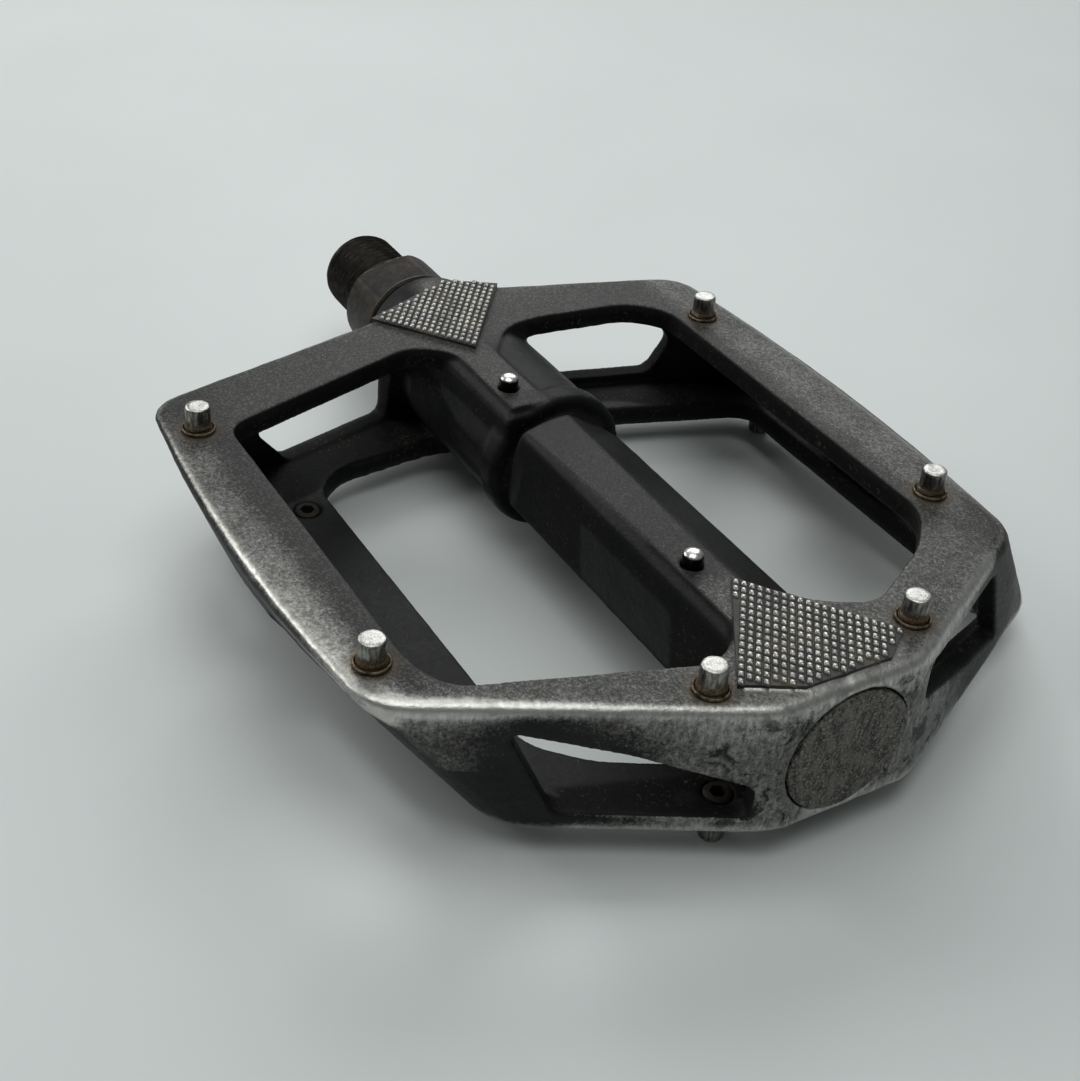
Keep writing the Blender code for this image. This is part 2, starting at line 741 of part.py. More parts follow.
def make_pins(pin_mat, washer_mat, screw_mat, spin):
    profile = [
        (PIN_HEIGHT, PIN_R - 0.2),
        (PIN_HEIGHT - 0.2, PIN_R),
        (1.2, PIN_R),
        (1.0, PIN_THREAD_R),
        (-PIN_DEPTH + 0.3, PIN_THREAD_R),
        (-PIN_DEPTH, PIN_THREAD_R - 0.3),
    ]
    pin = stud_mesh("traction_pin", profile, pin_mat)
    socket = cylinder_mesh("pin_socket_tool", 1.15, 4.0, 6)
    make_studs("traction_pin", pin_places(), pin, socket, -PIN_DEPTH, spin)
    profile = [
        (SCREW_HEIGHT, SCREW_R - 0.45),
        (SCREW_HEIGHT - 0.45, SCREW_R),
        (-SCREW_DEPTH + 0.3, SCREW_R),
        (-SCREW_DEPTH, SCREW_R - 0.3),
    ]
    screw = stud_mesh("bar_screw", profile, screw_mat)
    socket = cylinder_mesh("screw_socket_tool", 0.6, 2.4, 6)
    make_studs("bar_screw", screw_places(), screw, socket, SCREW_HEIGHT, spin)
    bm = bmesh.new()
    bmesh.ops.create_cone(
        bm, cap_ends=True, segments=20, radius1=WASHER_OUT_R * MM, radius2=(WASHER_OUT_R - 0.15) * MM,
        depth=WASHER_THICK * MM,
    )
    bmesh.ops.translate(bm, vec=(0.0, 0.0, (WASHER_THICK / 2 + RUNNING) * MM), verts=bm.verts)
    washer_mesh = finish_mesh("pin_washer", bm)
    washer_mesh.materials.append(washer_mat)
    hole_mesh = cylinder_mesh("washer_hole_tool", PIN_THREAD_R + 0.12, 6.0, 16)
    for tag, x, y, upside_down in pin_places():
        washer = bpy.data.objects.new("pin_washer_%s" % tag, washer_mesh)
        parts.objects.link(washer)
        washer.parent = spin
        place_on_face(washer, x, y, upside_down)
        hole = mesh_object("washer_hole_tool_" + tag, hole_mesh, cutters)
        place_on_face(hole, x, y, upside_down)
        boolean(washer, hole)


def main():
    clear_scene()
    paint = material("worn_black_paint", (0.05, 0.052, 0.055), 0.55, 0.6)
    dark_steel = material("oxidised_steel", (0.07, 0.055, 0.048), 0.6, 0.8)
    bright_steel = material("bright_steel", (0.6, 0.6, 0.58), 0.3, 1.0)
    pin_steel = material("pin_steel", (0.5, 0.49, 0.46), 0.4, 1.0)
    washer_steel = material("washer_steel", (0.3, 0.24, 0.18), 0.6, 0.8)
    bronze = material("bronze", (0.5, 0.32, 0.14), 0.4, 1.0)
    rubber = material("rubber", (0.02, 0.02, 0.02), 0.7, 0.0)
    cap_metal = material("cap_metal", (0.17, 0.16, 0.15), 0.6, 0.8)

    spin = bpy.data.objects.new("platform_axis", None)
    ball_spin = bpy.data.objects.new("ball_set_axis", None)
    parts.objects.link(spin)
    parts.objects.link(ball_spin)

    make_body(paint, spin)
    make_spindle(dark_steel)
    make_bearing(bright_steel, bronze, rubber, spin, ball_spin)
    make_spindle_hardware(bright_steel)
    make_seals_and_cap(rubber, bronze, cap_metal, spin)
    make_pins(pin_steel, washer_steel, pin_steel, spin)
    bpy.context.view_layer.update()


main()
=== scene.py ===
"""Looks for the flat pedal: worn cast platform, knurled pads, threaded pins and spindle.

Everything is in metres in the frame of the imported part: +X along the spindle from its threaded end,
+Z up. Lengths below are in millimetres and are turned into metres by MM.
"""
import math

import bmesh
import bpy
import numpy as np
from mathutils import Matrix, Quaternion, Vector, noise
from mathutils.bvhtree import BVHTree


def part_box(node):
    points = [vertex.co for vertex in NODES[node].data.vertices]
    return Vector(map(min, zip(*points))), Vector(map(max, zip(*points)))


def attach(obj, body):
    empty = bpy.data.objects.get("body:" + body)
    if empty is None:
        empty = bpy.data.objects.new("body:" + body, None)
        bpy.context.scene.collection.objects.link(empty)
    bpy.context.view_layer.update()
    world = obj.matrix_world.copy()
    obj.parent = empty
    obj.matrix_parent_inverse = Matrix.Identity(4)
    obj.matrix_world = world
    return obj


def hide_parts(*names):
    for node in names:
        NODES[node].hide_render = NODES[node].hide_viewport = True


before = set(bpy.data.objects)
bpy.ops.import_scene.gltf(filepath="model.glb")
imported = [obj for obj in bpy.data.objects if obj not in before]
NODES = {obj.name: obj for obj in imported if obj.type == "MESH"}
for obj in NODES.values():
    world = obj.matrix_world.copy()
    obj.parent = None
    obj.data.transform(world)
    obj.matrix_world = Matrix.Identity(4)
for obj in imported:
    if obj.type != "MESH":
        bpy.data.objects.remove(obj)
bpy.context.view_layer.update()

MM = 0.001

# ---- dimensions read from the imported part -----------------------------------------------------
FACE_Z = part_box("pin_washer_top_1")[0].z / MM - 0.05        # height of the platform's faces
PIN_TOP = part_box("traction_pin_top_1")[1].z / MM - FACE_Z
PIN_FOOT = FACE_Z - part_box("traction_pin_top_1")[0].z / MM
NOSE_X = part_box("platform_body")[1].x / MM
RAIL_Y = -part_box("platform_body")[0].y / MM
LOWEST_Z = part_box("traction_pin_bottom_1")[0].z


def centre(node):
    low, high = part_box(node)
    return (low + high) / 2


# ---- material helpers -------------------------------------------------------------------------
class Graph:
    """Short forms for building one material's nodes; coordinates are the object's, in millimetres."""

    def __init__(self, name):
        self.mat = bpy.data.materials.new(name)
        self.mat.use_nodes = True
        self.tree = self.mat.node_tree
        self.shader = self.tree.nodes["Principled BSDF"]
        coords = self.tree.nodes.new("ShaderNodeTexCoord")
        scale = self.tree.nodes.new("ShaderNodeVectorMath")
        scale.operation = "SCALE"
        scale.inputs["Scale"].default_value = 1.0 / MM
        self.tree.links.new(coords.outputs["Object"], scale.inputs[0])
        self.coords = scale.outputs[0]

    def stretched(self, factors):
        node = self.tree.nodes.new("ShaderNodeVectorMath")
        node.operation = "MULTIPLY"
        node.inputs[1].default_value = factors
        self.tree.links.new(self.coords, node.inputs[0])
        return node.outputs[0]

    def noise(self, scale, detail=4.0, roughness=0.55, coords=None, distortion=0.0):
        node = self.tree.nodes.new("ShaderNodeTexNoise")
        node.inputs["Scale"].default_value = scale
        node.inputs["Detail"].default_value = detail
        node.inputs["Roughness"].default_value = roughness
        node.inputs["Distortion"].default_value = distortion
        self.tree.links.new(coords or self.coords, node.inputs["Vector"])
        return node.outputs["Fac"]

    def cracks(self, scale, coords):
        node = self.tree.nodes.new("ShaderNodeTexVoronoi")
        node.feature = "DISTANCE_TO_EDGE"
        node.inputs["Scale"].default_value = scale
        self.tree.links.new(coords, node.inputs["Vector"])
        return node.outputs["Distance"]

    def attribute(self, name):
        node = self.tree.nodes.new("ShaderNodeAttribute")
        node.attribute_name = name
        return node.outputs["Fac"]

    def ramp(self, value, low, high, out_low=0.0, out_high=1.0):
        node = self.tree.nodes.new("ShaderNodeMapRange")
        node.interpolation_type = "SMOOTHSTEP"
        node.inputs["From Min"].default_value = low
        node.inputs["From Max"].default_value = high
        node.inputs["To Min"].default_value = out_low
        node.inputs["To Max"].default_value = out_high
        self.tree.links.new(value, node.inputs["Value"])
        return node.outputs["Result"]

    def math(self, operation, a, b):
        node = self.tree.nodes.new("ShaderNodeMath")
        node.operation = operation
        for socket, value in zip(node.inputs, (a, b)):
            if isinstance(value, (int, float)):
                socket.default_value = value
            else:
                self.tree.links.new(value, socket)
        return node.outputs[0]

    def mix(self, share, a, b):
        node = self.tree.nodes.new("ShaderNodeMix")
        node.data_type = "RGBA"
        self.tree.links.new(share, node.inputs["Factor"])
        for socket, value in ((node.inputs[6], a), (node.inputs[7], b)):
            if isinstance(value, tuple):
                socket.default_value = (*value, 1.0)
            else:
                self.tree.links.new(value, socket)
        return node.outputs[2]

    def bump(self, height, distance, strength=1.0, below=None):
        node = self.tree.nodes.new("ShaderNodeBump")
        node.inputs["Strength"].default_value = strength
        node.inputs["Distance"].default_value = distance * MM
        self.tree.links.new(height, node.inputs["Height"])
        if below is not None:
            self.tree.links.new(below, node.inputs["Normal"])
        return node.outputs["Normal"]

    def finish(self, color, roughness, metallic, normal=None, specular=0.5, ior=1.5):
        for name, value in (("Base Color", color), ("Roughness", roughness), ("Metallic", metallic)):
            if isinstance(value, (int, float)):
                self.shader.inputs[name].default_value = value
            else:
                self.tree.links.new(value, self.shader.inputs[name])
        self.shader.inputs["Specular IOR Level"].default_value = specular
        self.shader.inputs["IOR"].default_value = ior
        if normal is not None:
            self.tree.links.new(normal, self.shader.inputs["Normal"])
        return self.mat


# the casting's colours, linear, with painted shade, sheen and highlight among them; a pair is the two ends
# of a mottle
PAINT = ((0.0065, 0.0068, 0.0068), (0.012, 0.012, 0.0115))
# dulled paint on the top faces, made lighter also as a painted sheen
DULLED_PAINT_AND_SHEEN = (0.086, 0.085, 0.080)
GRIT = (0.15, 0.147, 0.138)
SCRATCH = (0.16, 0.155, 0.145)
DUST = (0.085, 0.070, 0.052)
# painted shade for the walls that look inward, darker than the paint
PAINTED_INNER_SHADE = (0.0026, 0.0030, 0.0030)
INNER_DIRT = (0.080, 0.068, 0.050)
BARE = ((0.26, 0.255, 0.24), (0.60, 0.59, 0.56))
BARE_GRAIN = (0.40, 0.395, 0.375)
BARE_BLOTCH = (0.13, 0.125, 0.112)
# light struck metal along the rims, which also serves as a painted highlight
STRUCK_METAL_AND_HIGHLIGHT = (0.70, 0.69, 0.65)
RUST = (0.080, 0.050, 0.024)


def casting_material():
    """Black paint, rubbed through to speckled grey aluminium where the mesh says it is worn, with painted
    shade on the inward-looking walls, a painted highlight along the outer rims and a painted sheen on the
    top faces.
    """
    g = Graph("worn_casting")
    rub = g.attribute("rub")
    rim = g.attribute("rim")
    sheltered = g.attribute("sheltered")
    tread = g.attribute("tread")
    grain = g.noise(3.0, 3.0, 0.75)
    speck = g.noise(1.6, 5.0, 0.75)
    patch = g.noise(0.14, 4.0, 0.6)
    streak = g.noise(1.1, 4.0, 0.65, coords=g.stretched((1.5, 1.5, 0.4)), distortion=0.6)
    blotch = g.noise(0.55, 4.0, 0.6, distortion=0.3)
    smear = g.noise(0.26, 5.0, 0.7, distortion=0.8)
    scratch = g.cracks(0.4, g.stretched((0.35, 1.3, 1.0)))

    amount = g.math("ADD", rub, g.ramp(patch, 0.3, 0.7, -0.03, 0.04))
    kept = g.math("MULTIPLY", g.ramp(smear, 0.48, 0.64, 0.0, 0.26), g.attribute("nose_wall"))
    amount = g.math("SUBTRACT", amount, g.math("MULTIPLY", kept, g.math("SUBTRACT", 1.0, rim)))
    chips = g.math("ADD", g.math("MULTIPLY", speck, 0.55), g.math("MULTIPLY", grain, 0.45))
    chips = g.math("ADD", chips, g.ramp(blotch, 0.3, 0.7, -0.04, 0.04))
    worn = g.ramp(g.math("ADD", amount, chips), 0.72, 1.34)

    paint = g.mix(g.ramp(patch, 0.3, 0.7), *PAINT)
    # top faces lighter: scuffed dulled paint and a painted sheen
    paint = g.mix(g.math("MULTIPLY", tread, 0.36), paint, DULLED_PAINT_AND_SHEEN)
    gritty = g.math("MULTIPLY", g.ramp(grain, 0.50, 0.62), tread)
    paint = g.mix(g.math("MULTIPLY", gritty, 0.6), paint, GRIT)
    lines = g.math("MULTIPLY", g.ramp(scratch, 0.0, 0.014, 1.0, 0.0), g.ramp(speck, 0.52, 0.66))
    paint = g.mix(g.math("MULTIPLY", lines, 0.35), paint, SCRATCH)
    dusty = g.math("MULTIPLY", g.attribute("hollow"), g.ramp(speck, 0.50, 0.72))
    paint = g.mix(g.math("MULTIPLY", dusty, 0.3), paint, DUST)
    dirt = g.math("MULTIPLY", g.ramp(speck, 0.54, 0.68), g.ramp(patch, 0.38, 0.60))
    painted_shade_with_dirt = g.mix(dirt, PAINTED_INNER_SHADE, INNER_DIRT)
    # painted shade on the walls that look at other walls, with real dirt specks in it
    paint = g.mix(g.math("MULTIPLY", sheltered, 0.94), paint, painted_shade_with_dirt)
    metal = g.mix(g.ramp(streak, 0.34, 0.66), *BARE)
    metal = g.mix(g.ramp(grain, 0.35, 0.65, 0.0, 0.5), metal, BARE_GRAIN)
    metal = g.mix(g.ramp(blotch, 0.50, 0.64, 0.0, 0.65), metal, BARE_BLOTCH)
    # struck metal and a painted highlight along the rims
    metal = g.mix(g.math("MULTIPLY", rim, 0.7), metal, STRUCK_METAL_AND_HIGHLIGHT)
    color = g.mix(worn, paint, metal)
    rusty = g.math("MULTIPLY", g.attribute("stain"), g.ramp(speck, 0.40, 0.60, 0.25, 0.9))
    color = g.mix(rusty, color, RUST)
    rough_metal = g.ramp(streak, 0.2, 0.8, 0.50, 0.36)
    rough_metal = g.math("SUBTRACT", rough_metal, g.math("MULTIPLY", rim, 0.08))
    bare = g.math("MULTIPLY", worn, rough_metal)
    rough_paint = g.math("ADD", g.ramp(speck, 0.3, 0.7, 0.42, 0.56), g.math("MULTIPLY", sheltered, 0.25))
    coated = g.math("MULTIPLY", g.math("SUBTRACT", 1.0, worn), rough_paint)
    fine = g.bump(grain, 0.06, 0.8)
    cast = g.bump(g.noise(0.8, 4.0, 0.65), 0.14, 0.6, below=fine)
    chipped = g.bump(worn, -0.04, 0.8, below=cast)
    return g.finish(color, g.math("ADD", bare, coated), g.math("MULTIPLY", worn, 0.9), chipped,
                    specular=0.35, ior=1.3)


def knurl_material():
    """Dark paint in the valleys, bare bright tips."""
    g = Graph("worn_knurl")
    tip = g.attribute("tip")
    grain = g.noise(3.5, 3.0, 0.65)
    patch = g.noise(0.25, 3.0, 0.6)
    bright = g.ramp(g.math("ADD", tip, g.math("MULTIPLY", g.math("SUBTRACT", grain, 0.5), 0.8)), 0.25, 0.95)
    bright = g.math("MULTIPLY", bright, g.ramp(patch, 0.2, 0.45, 0.7, 1.0))
    base = g.mix(g.ramp(patch, 0.45, 0.70), (0.024, 0.024, 0.022), (0.075, 0.060, 0.038))
    silver = g.mix(g.ramp(grain, 0.3, 0.7), (0.24, 0.235, 0.215), (0.60, 0.59, 0.56))
    color = g.mix(bright, base, silver)
    rough = g.ramp(bright, 0.0, 1.0, 0.6, 0.3)
    return g.finish(color, rough, g.math("MULTIPLY", bright, 0.95), g.bump(grain, 0.04, 0.6))


def pin_material():
    """Steel pin: bright worn top, dark shank, brown rust at the foot and in the thread."""
    g = Graph("worn_pin")
    height = g.attribute("height")
    grain = g.noise(4.0, 4.0, 0.65)
    patch = g.noise(0.9, 3.0, 0.6)
    side = g.noise(2.0, 4.0, 0.6, coords=g.stretched((1.0, 1.0, 0.25)))
    jitter = g.math("SUBTRACT", patch, 0.5)
    level = g.math("ADD", height, jitter)
    steel = g.mix(g.ramp(side, 0.38, 0.62), (0.10, 0.095, 0.085), (0.34, 0.33, 0.31))
    bright = g.mix(g.ramp(grain, 0.3, 0.7), (0.34, 0.335, 0.315), (0.66, 0.65, 0.62))
    rust = g.mix(g.ramp(grain, 0.35, 0.65), (0.040, 0.026, 0.014), (0.165, 0.110, 0.058))
    buried = g.ramp(height, -0.15, 0.0, 1.0, 0.0)
    rust = g.mix(buried, rust, (0.022, 0.017, 0.012))
    rusty = g.ramp(level, 0.26, 0.58, 1.0, 0.0)
    top = g.ramp(g.math("ADD", height, g.math("MULTIPLY", jitter, 0.12)), 0.93, 0.985)
    color = g.mix(top, g.mix(rusty, steel, rust), bright)
    metallic = g.ramp(rusty, 0.0, 1.0, 1.0, 0.45)
    rough = g.math("ADD", g.ramp(rusty, 0.0, 1.0, 0.34, 0.64), g.math("MULTIPLY", grain, 0.08))
    return g.finish(color, rough, metallic, g.bump(grain, 0.05, 0.7))


def screw_material():
    g = Graph("bright_screw")
    height = g.attribute("height")
    grain = g.noise(3.0, 3.0, 0.6)
    top = g.ramp(g.math("ADD", height, g.math("MULTIPLY", g.math("SUBTRACT", grain, 0.5), 0.25)),
                 0.70, 0.86)
    color = g.mix(top, (0.022, 0.021, 0.020), (0.78, 0.77, 0.74))
    rough = g.ramp(grain, 0.3, 0.7, 0.22, 0.38)
    return g.finish(color, rough, 1.0, g.bump(grain, 0.03, 0.5))


def plain_metal(name, dark, light, rough_low, rough_high, metallic=1.0, scale=1.5, relief=0.04):
    """Metal with two-tone mottling at one scale and fine grain over it."""
    g = Graph(name)
    mottle = g.noise(scale, 5.0, 0.65)
    grain = g.noise(scale * 5, 3.0, 0.6)
    color = g.mix(g.ramp(mottle, 0.36, 0.64), dark, light)
    rough = g.ramp(grain, 0.3, 0.7, rough_low, rough_high)
    return g.finish(color, rough, metallic, g.bump(g.math("ADD", mottle, grain), relief, 0.6))


def oxide_material():
    """Dark brown oxidised steel with a few dull bright rubs on its high edges."""
    g = Graph("oxidised_spindle")
    mottle = g.noise(0.55, 5.0, 0.7)
    grain = g.noise(4.0, 4.0, 0.65)
    rust = g.noise(0.28, 4.0, 0.6)
    color = g.mix(g.ramp(mottle, 0.35, 0.65), (0.014, 0.013, 0.0115), (0.036, 0.031, 0.026))
    color = g.mix(g.ramp(rust, 0.55, 0.72, 0.0, 0.6), color, (0.060, 0.038, 0.022))
    rubbed = g.ramp(g.math("ADD", g.attribute("edge"), g.math("MULTIPLY", grain, 0.5)), 0.75, 1.15)
    color = g.mix(g.math("MULTIPLY", rubbed, 0.6), color, (0.30, 0.28, 0.26))
    rough = g.ramp(grain, 0.3, 0.7, 0.42, 0.62)
    return g.finish(color, rough, 0.75, g.bump(g.math("ADD", mottle, grain), 0.06, 0.6))


def cap_material():
    """Mottled dark grey-brown cap: ground-in dirt over cast metal."""
    g = Graph("mottled_cap")
    slant = g.stretched((1.0, 1.0, 0.55))
    mottle = g.noise(0.75, 6.0, 0.75, coords=slant, distortion=0.5)
    grain = g.noise(2.6, 4.0, 0.7)
    blend = g.math("ADD", g.math("MULTIPLY", mottle, 0.6), g.math("MULTIPLY", grain, 0.4))
    color = g.mix(g.ramp(blend, 0.42, 0.56), (0.016, 0.014, 0.011), (0.155, 0.148, 0.128))
    color = g.mix(g.ramp(grain, 0.55, 0.66, 0.0, 0.85), color, (0.40, 0.39, 0.36))
    rough = g.ramp(grain, 0.3, 0.7, 0.46, 0.64)
    relief = g.bump(blend, 0.28, 1.0)
    return g.finish(color, rough, g.ramp(blend, 0.4, 0.7, 0.35, 0.85), relief)


def rubber_material():
    g = Graph("black_rubber")
    grain = g.noise(2.5, 4.0, 0.65)
    color = g.mix(g.ramp(grain, 0.35, 0.7), (0.010, 0.010, 0.010), (0.030, 0.029, 0.027))
    return g.finish(color, g.ramp(grain, 0.3, 0.7, 0.6, 0.8), 0.0, g.bump(grain, 0.03, 0.5))


# ---- mesh helpers -----------------------------------------------------------------------------
def new_piece(name, mesh, mat, body, nodes=()):
    """Put a mesh into the scene on a body, in place of some of the solid's nodes."""
    piece = bpy.data.objects.new(name, mesh)
    bpy.context.scene.collection.objects.link(piece)
    mesh.materials.clear()
    mesh.materials.append(mat)
    mesh.shade_smooth()
    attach(piece, body)
    if nodes:
        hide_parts(*nodes)


def mesh_from(name, bm):
    bmesh.ops.recalc_face_normals(bm, faces=bm.faces)
    mesh = bpy.data.meshes.new(name)
    bm.to_mesh(mesh)
    bm.free()
    return mesh


def set_attribute(mesh, name, values):
    layer = mesh.attributes.new(name, "FLOAT", "POINT")
    layer.data.foreach_set("value", np.asarray(values, np.float32))


def positions(mesh):
    co = np.empty(len(mesh.vertices) * 3, np.float32)
    mesh.vertices.foreach_get("co", co)
    return co.reshape(-1, 3).astype(float) / MM


def set_positions(mesh, co):
    mesh.vertices.foreach_set("co", (co * MM).astype(np.float32).ravel())
    mesh.update()


def vertex_normals(mesh):
    normals = np.empty(len(mesh.vertices) * 3, np.float32)
    mesh.vertex_normals.foreach_get("vector", normals)
    return normals.reshape(-1, 3).astype(float)


def smoothed(mesh, co, rounds):
    """Positions after some rounds of averaging with each vertex's neighbours."""
    pairs = np.empty(len(mesh.edges) * 2, np.int64)
    mesh.edges.foreach_get("vertices", pairs)
    pairs = pairs.reshape(-1, 2)
    count = np.bincount(pairs.ravel(), minlength=len(co)).astype(float)
    count[count == 0] = 1.0
    for _ in range(rounds):
        total = np.zeros_like(co)
        for axis in range(3):
            total[:, axis] = (np.bincount(pairs[:, 0], co[pairs[:, 1], axis], len(co))
                              + np.bincount(pairs[:, 1], co[pairs[:, 0], axis], len(co)))
        co = 0.4 * co + 0.6 * total / count[:, None]
    return co


def step(values, low, high):
    """Smooth 0 to 1 as the values go from low to high."""
    t = np.clip((values - low) / (high - low), 0.0, 1.0)
    return t * t * (3 - 2 * t)


def lathe_mesh(name, profile, segments):
    """Closed turned mesh about +X from (x, radius) points; both end radii are 0, or it is a ring."""
    bm = bmesh.new()
    rings = []
    for x, radius in profile:
        if radius == 0.0:
            rings.append([bm.verts.new((x * MM, 0.0, 0.0))])
            continue
        ring = []
        for k in range(segments):
            angle = 2 * math.pi * k / segments
            y, z = radius * math.cos(angle), radius * math.sin(angle)
            ring.append(bm.verts.new((x * MM, y * MM, z * MM)))
        rings.append(ring)
    closed = profile[0][1] > 0.0
    following = rings[1:] + rings[:1] if closed else rings[1:]
    for a, b in zip(rings, following):
        for k in range(segments):
            after = (k + 1) % segments
            if len(a) == 1:
                bm.faces.new((a[0], b[after], b[k]))
            elif len(b) == 1:
                bm.faces.new((a[k], a[after], b[0]))
            else:
                bm.faces.new((a[k], a[after], b[after], b[k]))
    return mesh_from(name, bm)


def rounded(points, radius):
    """The open profile with each inner corner replaced by a small arc."""
    arc = 4
    result = [points[0]]
    for before, here, after in zip(points, points[1:], points[2:]):
        here, before, after = Vector(here), Vector(before), Vector(after)
        back, on = before - here, after - here
        cut = min(radius, back.length * 0.45, on.length * 0.45)
        start, end = here + back.normalized() * cut, here + on.normalized() * cut
        for k in range(arc + 1):
            t = k / arc
            result.append(tuple((1 - t) ** 2 * start + 2 * t * (1 - t) * here + t * t * end))
    result.append(points[-1])
    return result


# ---- the cast platform ------------------------------------------------------------------------
VOXEL = 0.32                                # grid of the remesh
SMOOTH_ROUNDS = 12                          # rounds off every edge
MIDDLE_X = 92.0                             # middle of the platform along the spindle
LOOK_START = 0.8                            # a sheltered surface meets a wall beyond this distance
LOOK_REACH = 90.0                           # and before this one
BAR_REACH = 11.0                            # edges nearer than this to the middle are the bar's
STAIN = (2.4, 4.2)                          # rust round a pin: full within, none beyond
# where each part of the wear map fades in, as from and to
TIP = (36.0, 48.0)                          # inboard arms, full up to the first
AHEAD = (NOSE_X - 30.0, NOSE_X - 18.0)      # outboard end
NOSE = (NOSE_X - 14.0, NOSE_X - 4.0)        # outboard wall round the cap
LEFT = (RAIL_Y - 13.0, RAIL_Y - 8.0)        # left rail
RIGHT = (31.0, 36.0)                        # right rail
LEFT_NOOK = (6.0, 22.0)                     # distance from the outboard left corner
FACE_HEIGHT = (FACE_Z - 1.6, FACE_Z - 0.4)
EDGE_HEIGHT = (FACE_Z - 4.5, FACE_Z - 2.2)
UNDER_RIM = (FACE_Z - 7.0, FACE_Z - 2.0)
LOW_EDGE = (FACE_Z - 3.5, FACE_Z - 1.0)


def cast_platform(mat):
    """The platform's solid, remeshed so that every edge gets a cast fillet, with its wear map."""
    mesh = NODES["platform_body"].data.copy()
    bm = bmesh.new()
    bm.from_mesh(mesh)
    bmesh.ops.remove_doubles(bm, verts=bm.verts, dist=1e-6)
    walls = BVHTree.FromBMesh(bm)
    bm.to_mesh(mesh)
    bm.free()
    scratch = bpy.data.objects.new("platform_scratch", mesh)
    bpy.context.scene.collection.objects.link(scratch)
    remesh = scratch.modifiers.new("even mesh", "REMESH")
    remesh.mode = "VOXEL"
    remesh.voxel_size = VOXEL * MM
    smooth = scratch.modifiers.new("cast fillets", "SMOOTH")
    smooth.factor = 0.5
    smooth.iterations = SMOOTH_ROUNDS
    depsgraph = bpy.context.evaluated_depsgraph_get()
    fine = bpy.data.meshes.new_from_object(scratch.evaluated_get(depsgraph))
    bpy.data.objects.remove(scratch)
    fine.name = "cast_platform"
    wear_map(fine, walls)
    dent(fine)
    new_piece("cast_platform", fine, mat, "platform", ["platform_body"])


def convexity(mesh, co, normals, rounds):
    """How far each vertex stands proud of its smoothed surroundings, in millimetres."""
    return ((co - smoothed(mesh, co, rounds)) * normals).sum(axis=1)


def spread(mesh, values, rounds):
    """A per-vertex value after some rounds of averaging with its neighbours."""
    return smoothed(mesh, np.stack([values] * 3, axis=1), rounds)[:, 0]


def band(values, low, high, fade_in, fade_out):
    """1 between low and high, falling smoothly to 0 over the two fades, which lie inside."""
    return step(values, low, low + fade_in) * (1 - step(values, high - fade_out, high))


def shelter(co, normals, walls):
    """1 where the surface looks at another wall of the platform, 0 where it looks outward."""
    hidden = np.zeros(len(co))
    for k, (point, normal) in enumerate(zip(co * MM, normals)):
        start = Vector(point + normal * LOOK_START * MM)
        if walls.ray_cast(start, Vector(normal), LOOK_REACH * MM)[0] is not None:
            hidden[k] = 1.0
    return hidden


def dent(mesh):
    """Knocks and cast unevenness, deeper along the edges that strike the ground."""
    co = positions(mesh)
    normals = vertex_normals(mesh)
    edge = np.empty(len(co), np.float32)
    mesh.attributes["rim"].data.foreach_get("value", edge)
    struck = step(co[:, 0], NOSE_X - 26.0, NOSE_X - 4.0) * edge
    push = np.empty(len(co))
    for k, (x, y, z) in enumerate(co):
        soft = noise.noise((x * 0.22, y * 0.22, z * 0.22))
        sharp = noise.noise((x * 0.8 + 7.0, y * 0.8, z * 0.8))
        knock = noise.noise((x * 0.33, y * 0.33 + 3.0, z * 0.33))
        push[k] = 0.05 * soft + 0.025 * sharp - struck[k] * max(0.0, knock - 0.05) * 0.40
    set_positions(mesh, co + normals * push[:, None])


def pin_stains(x, y, z, face):
    """1 on the faces next to a traction pin."""
    stain = np.zeros(len(x))
    for node in NODES:
        if node.startswith("traction_pin"):
            spot = centre(node) / MM
            near = 1 - step(np.hypot(x - spot.x, y - spot.y), *STAIN)
            stain = np.maximum(stain, near * face * (z * spot.z > 0))
    return stain


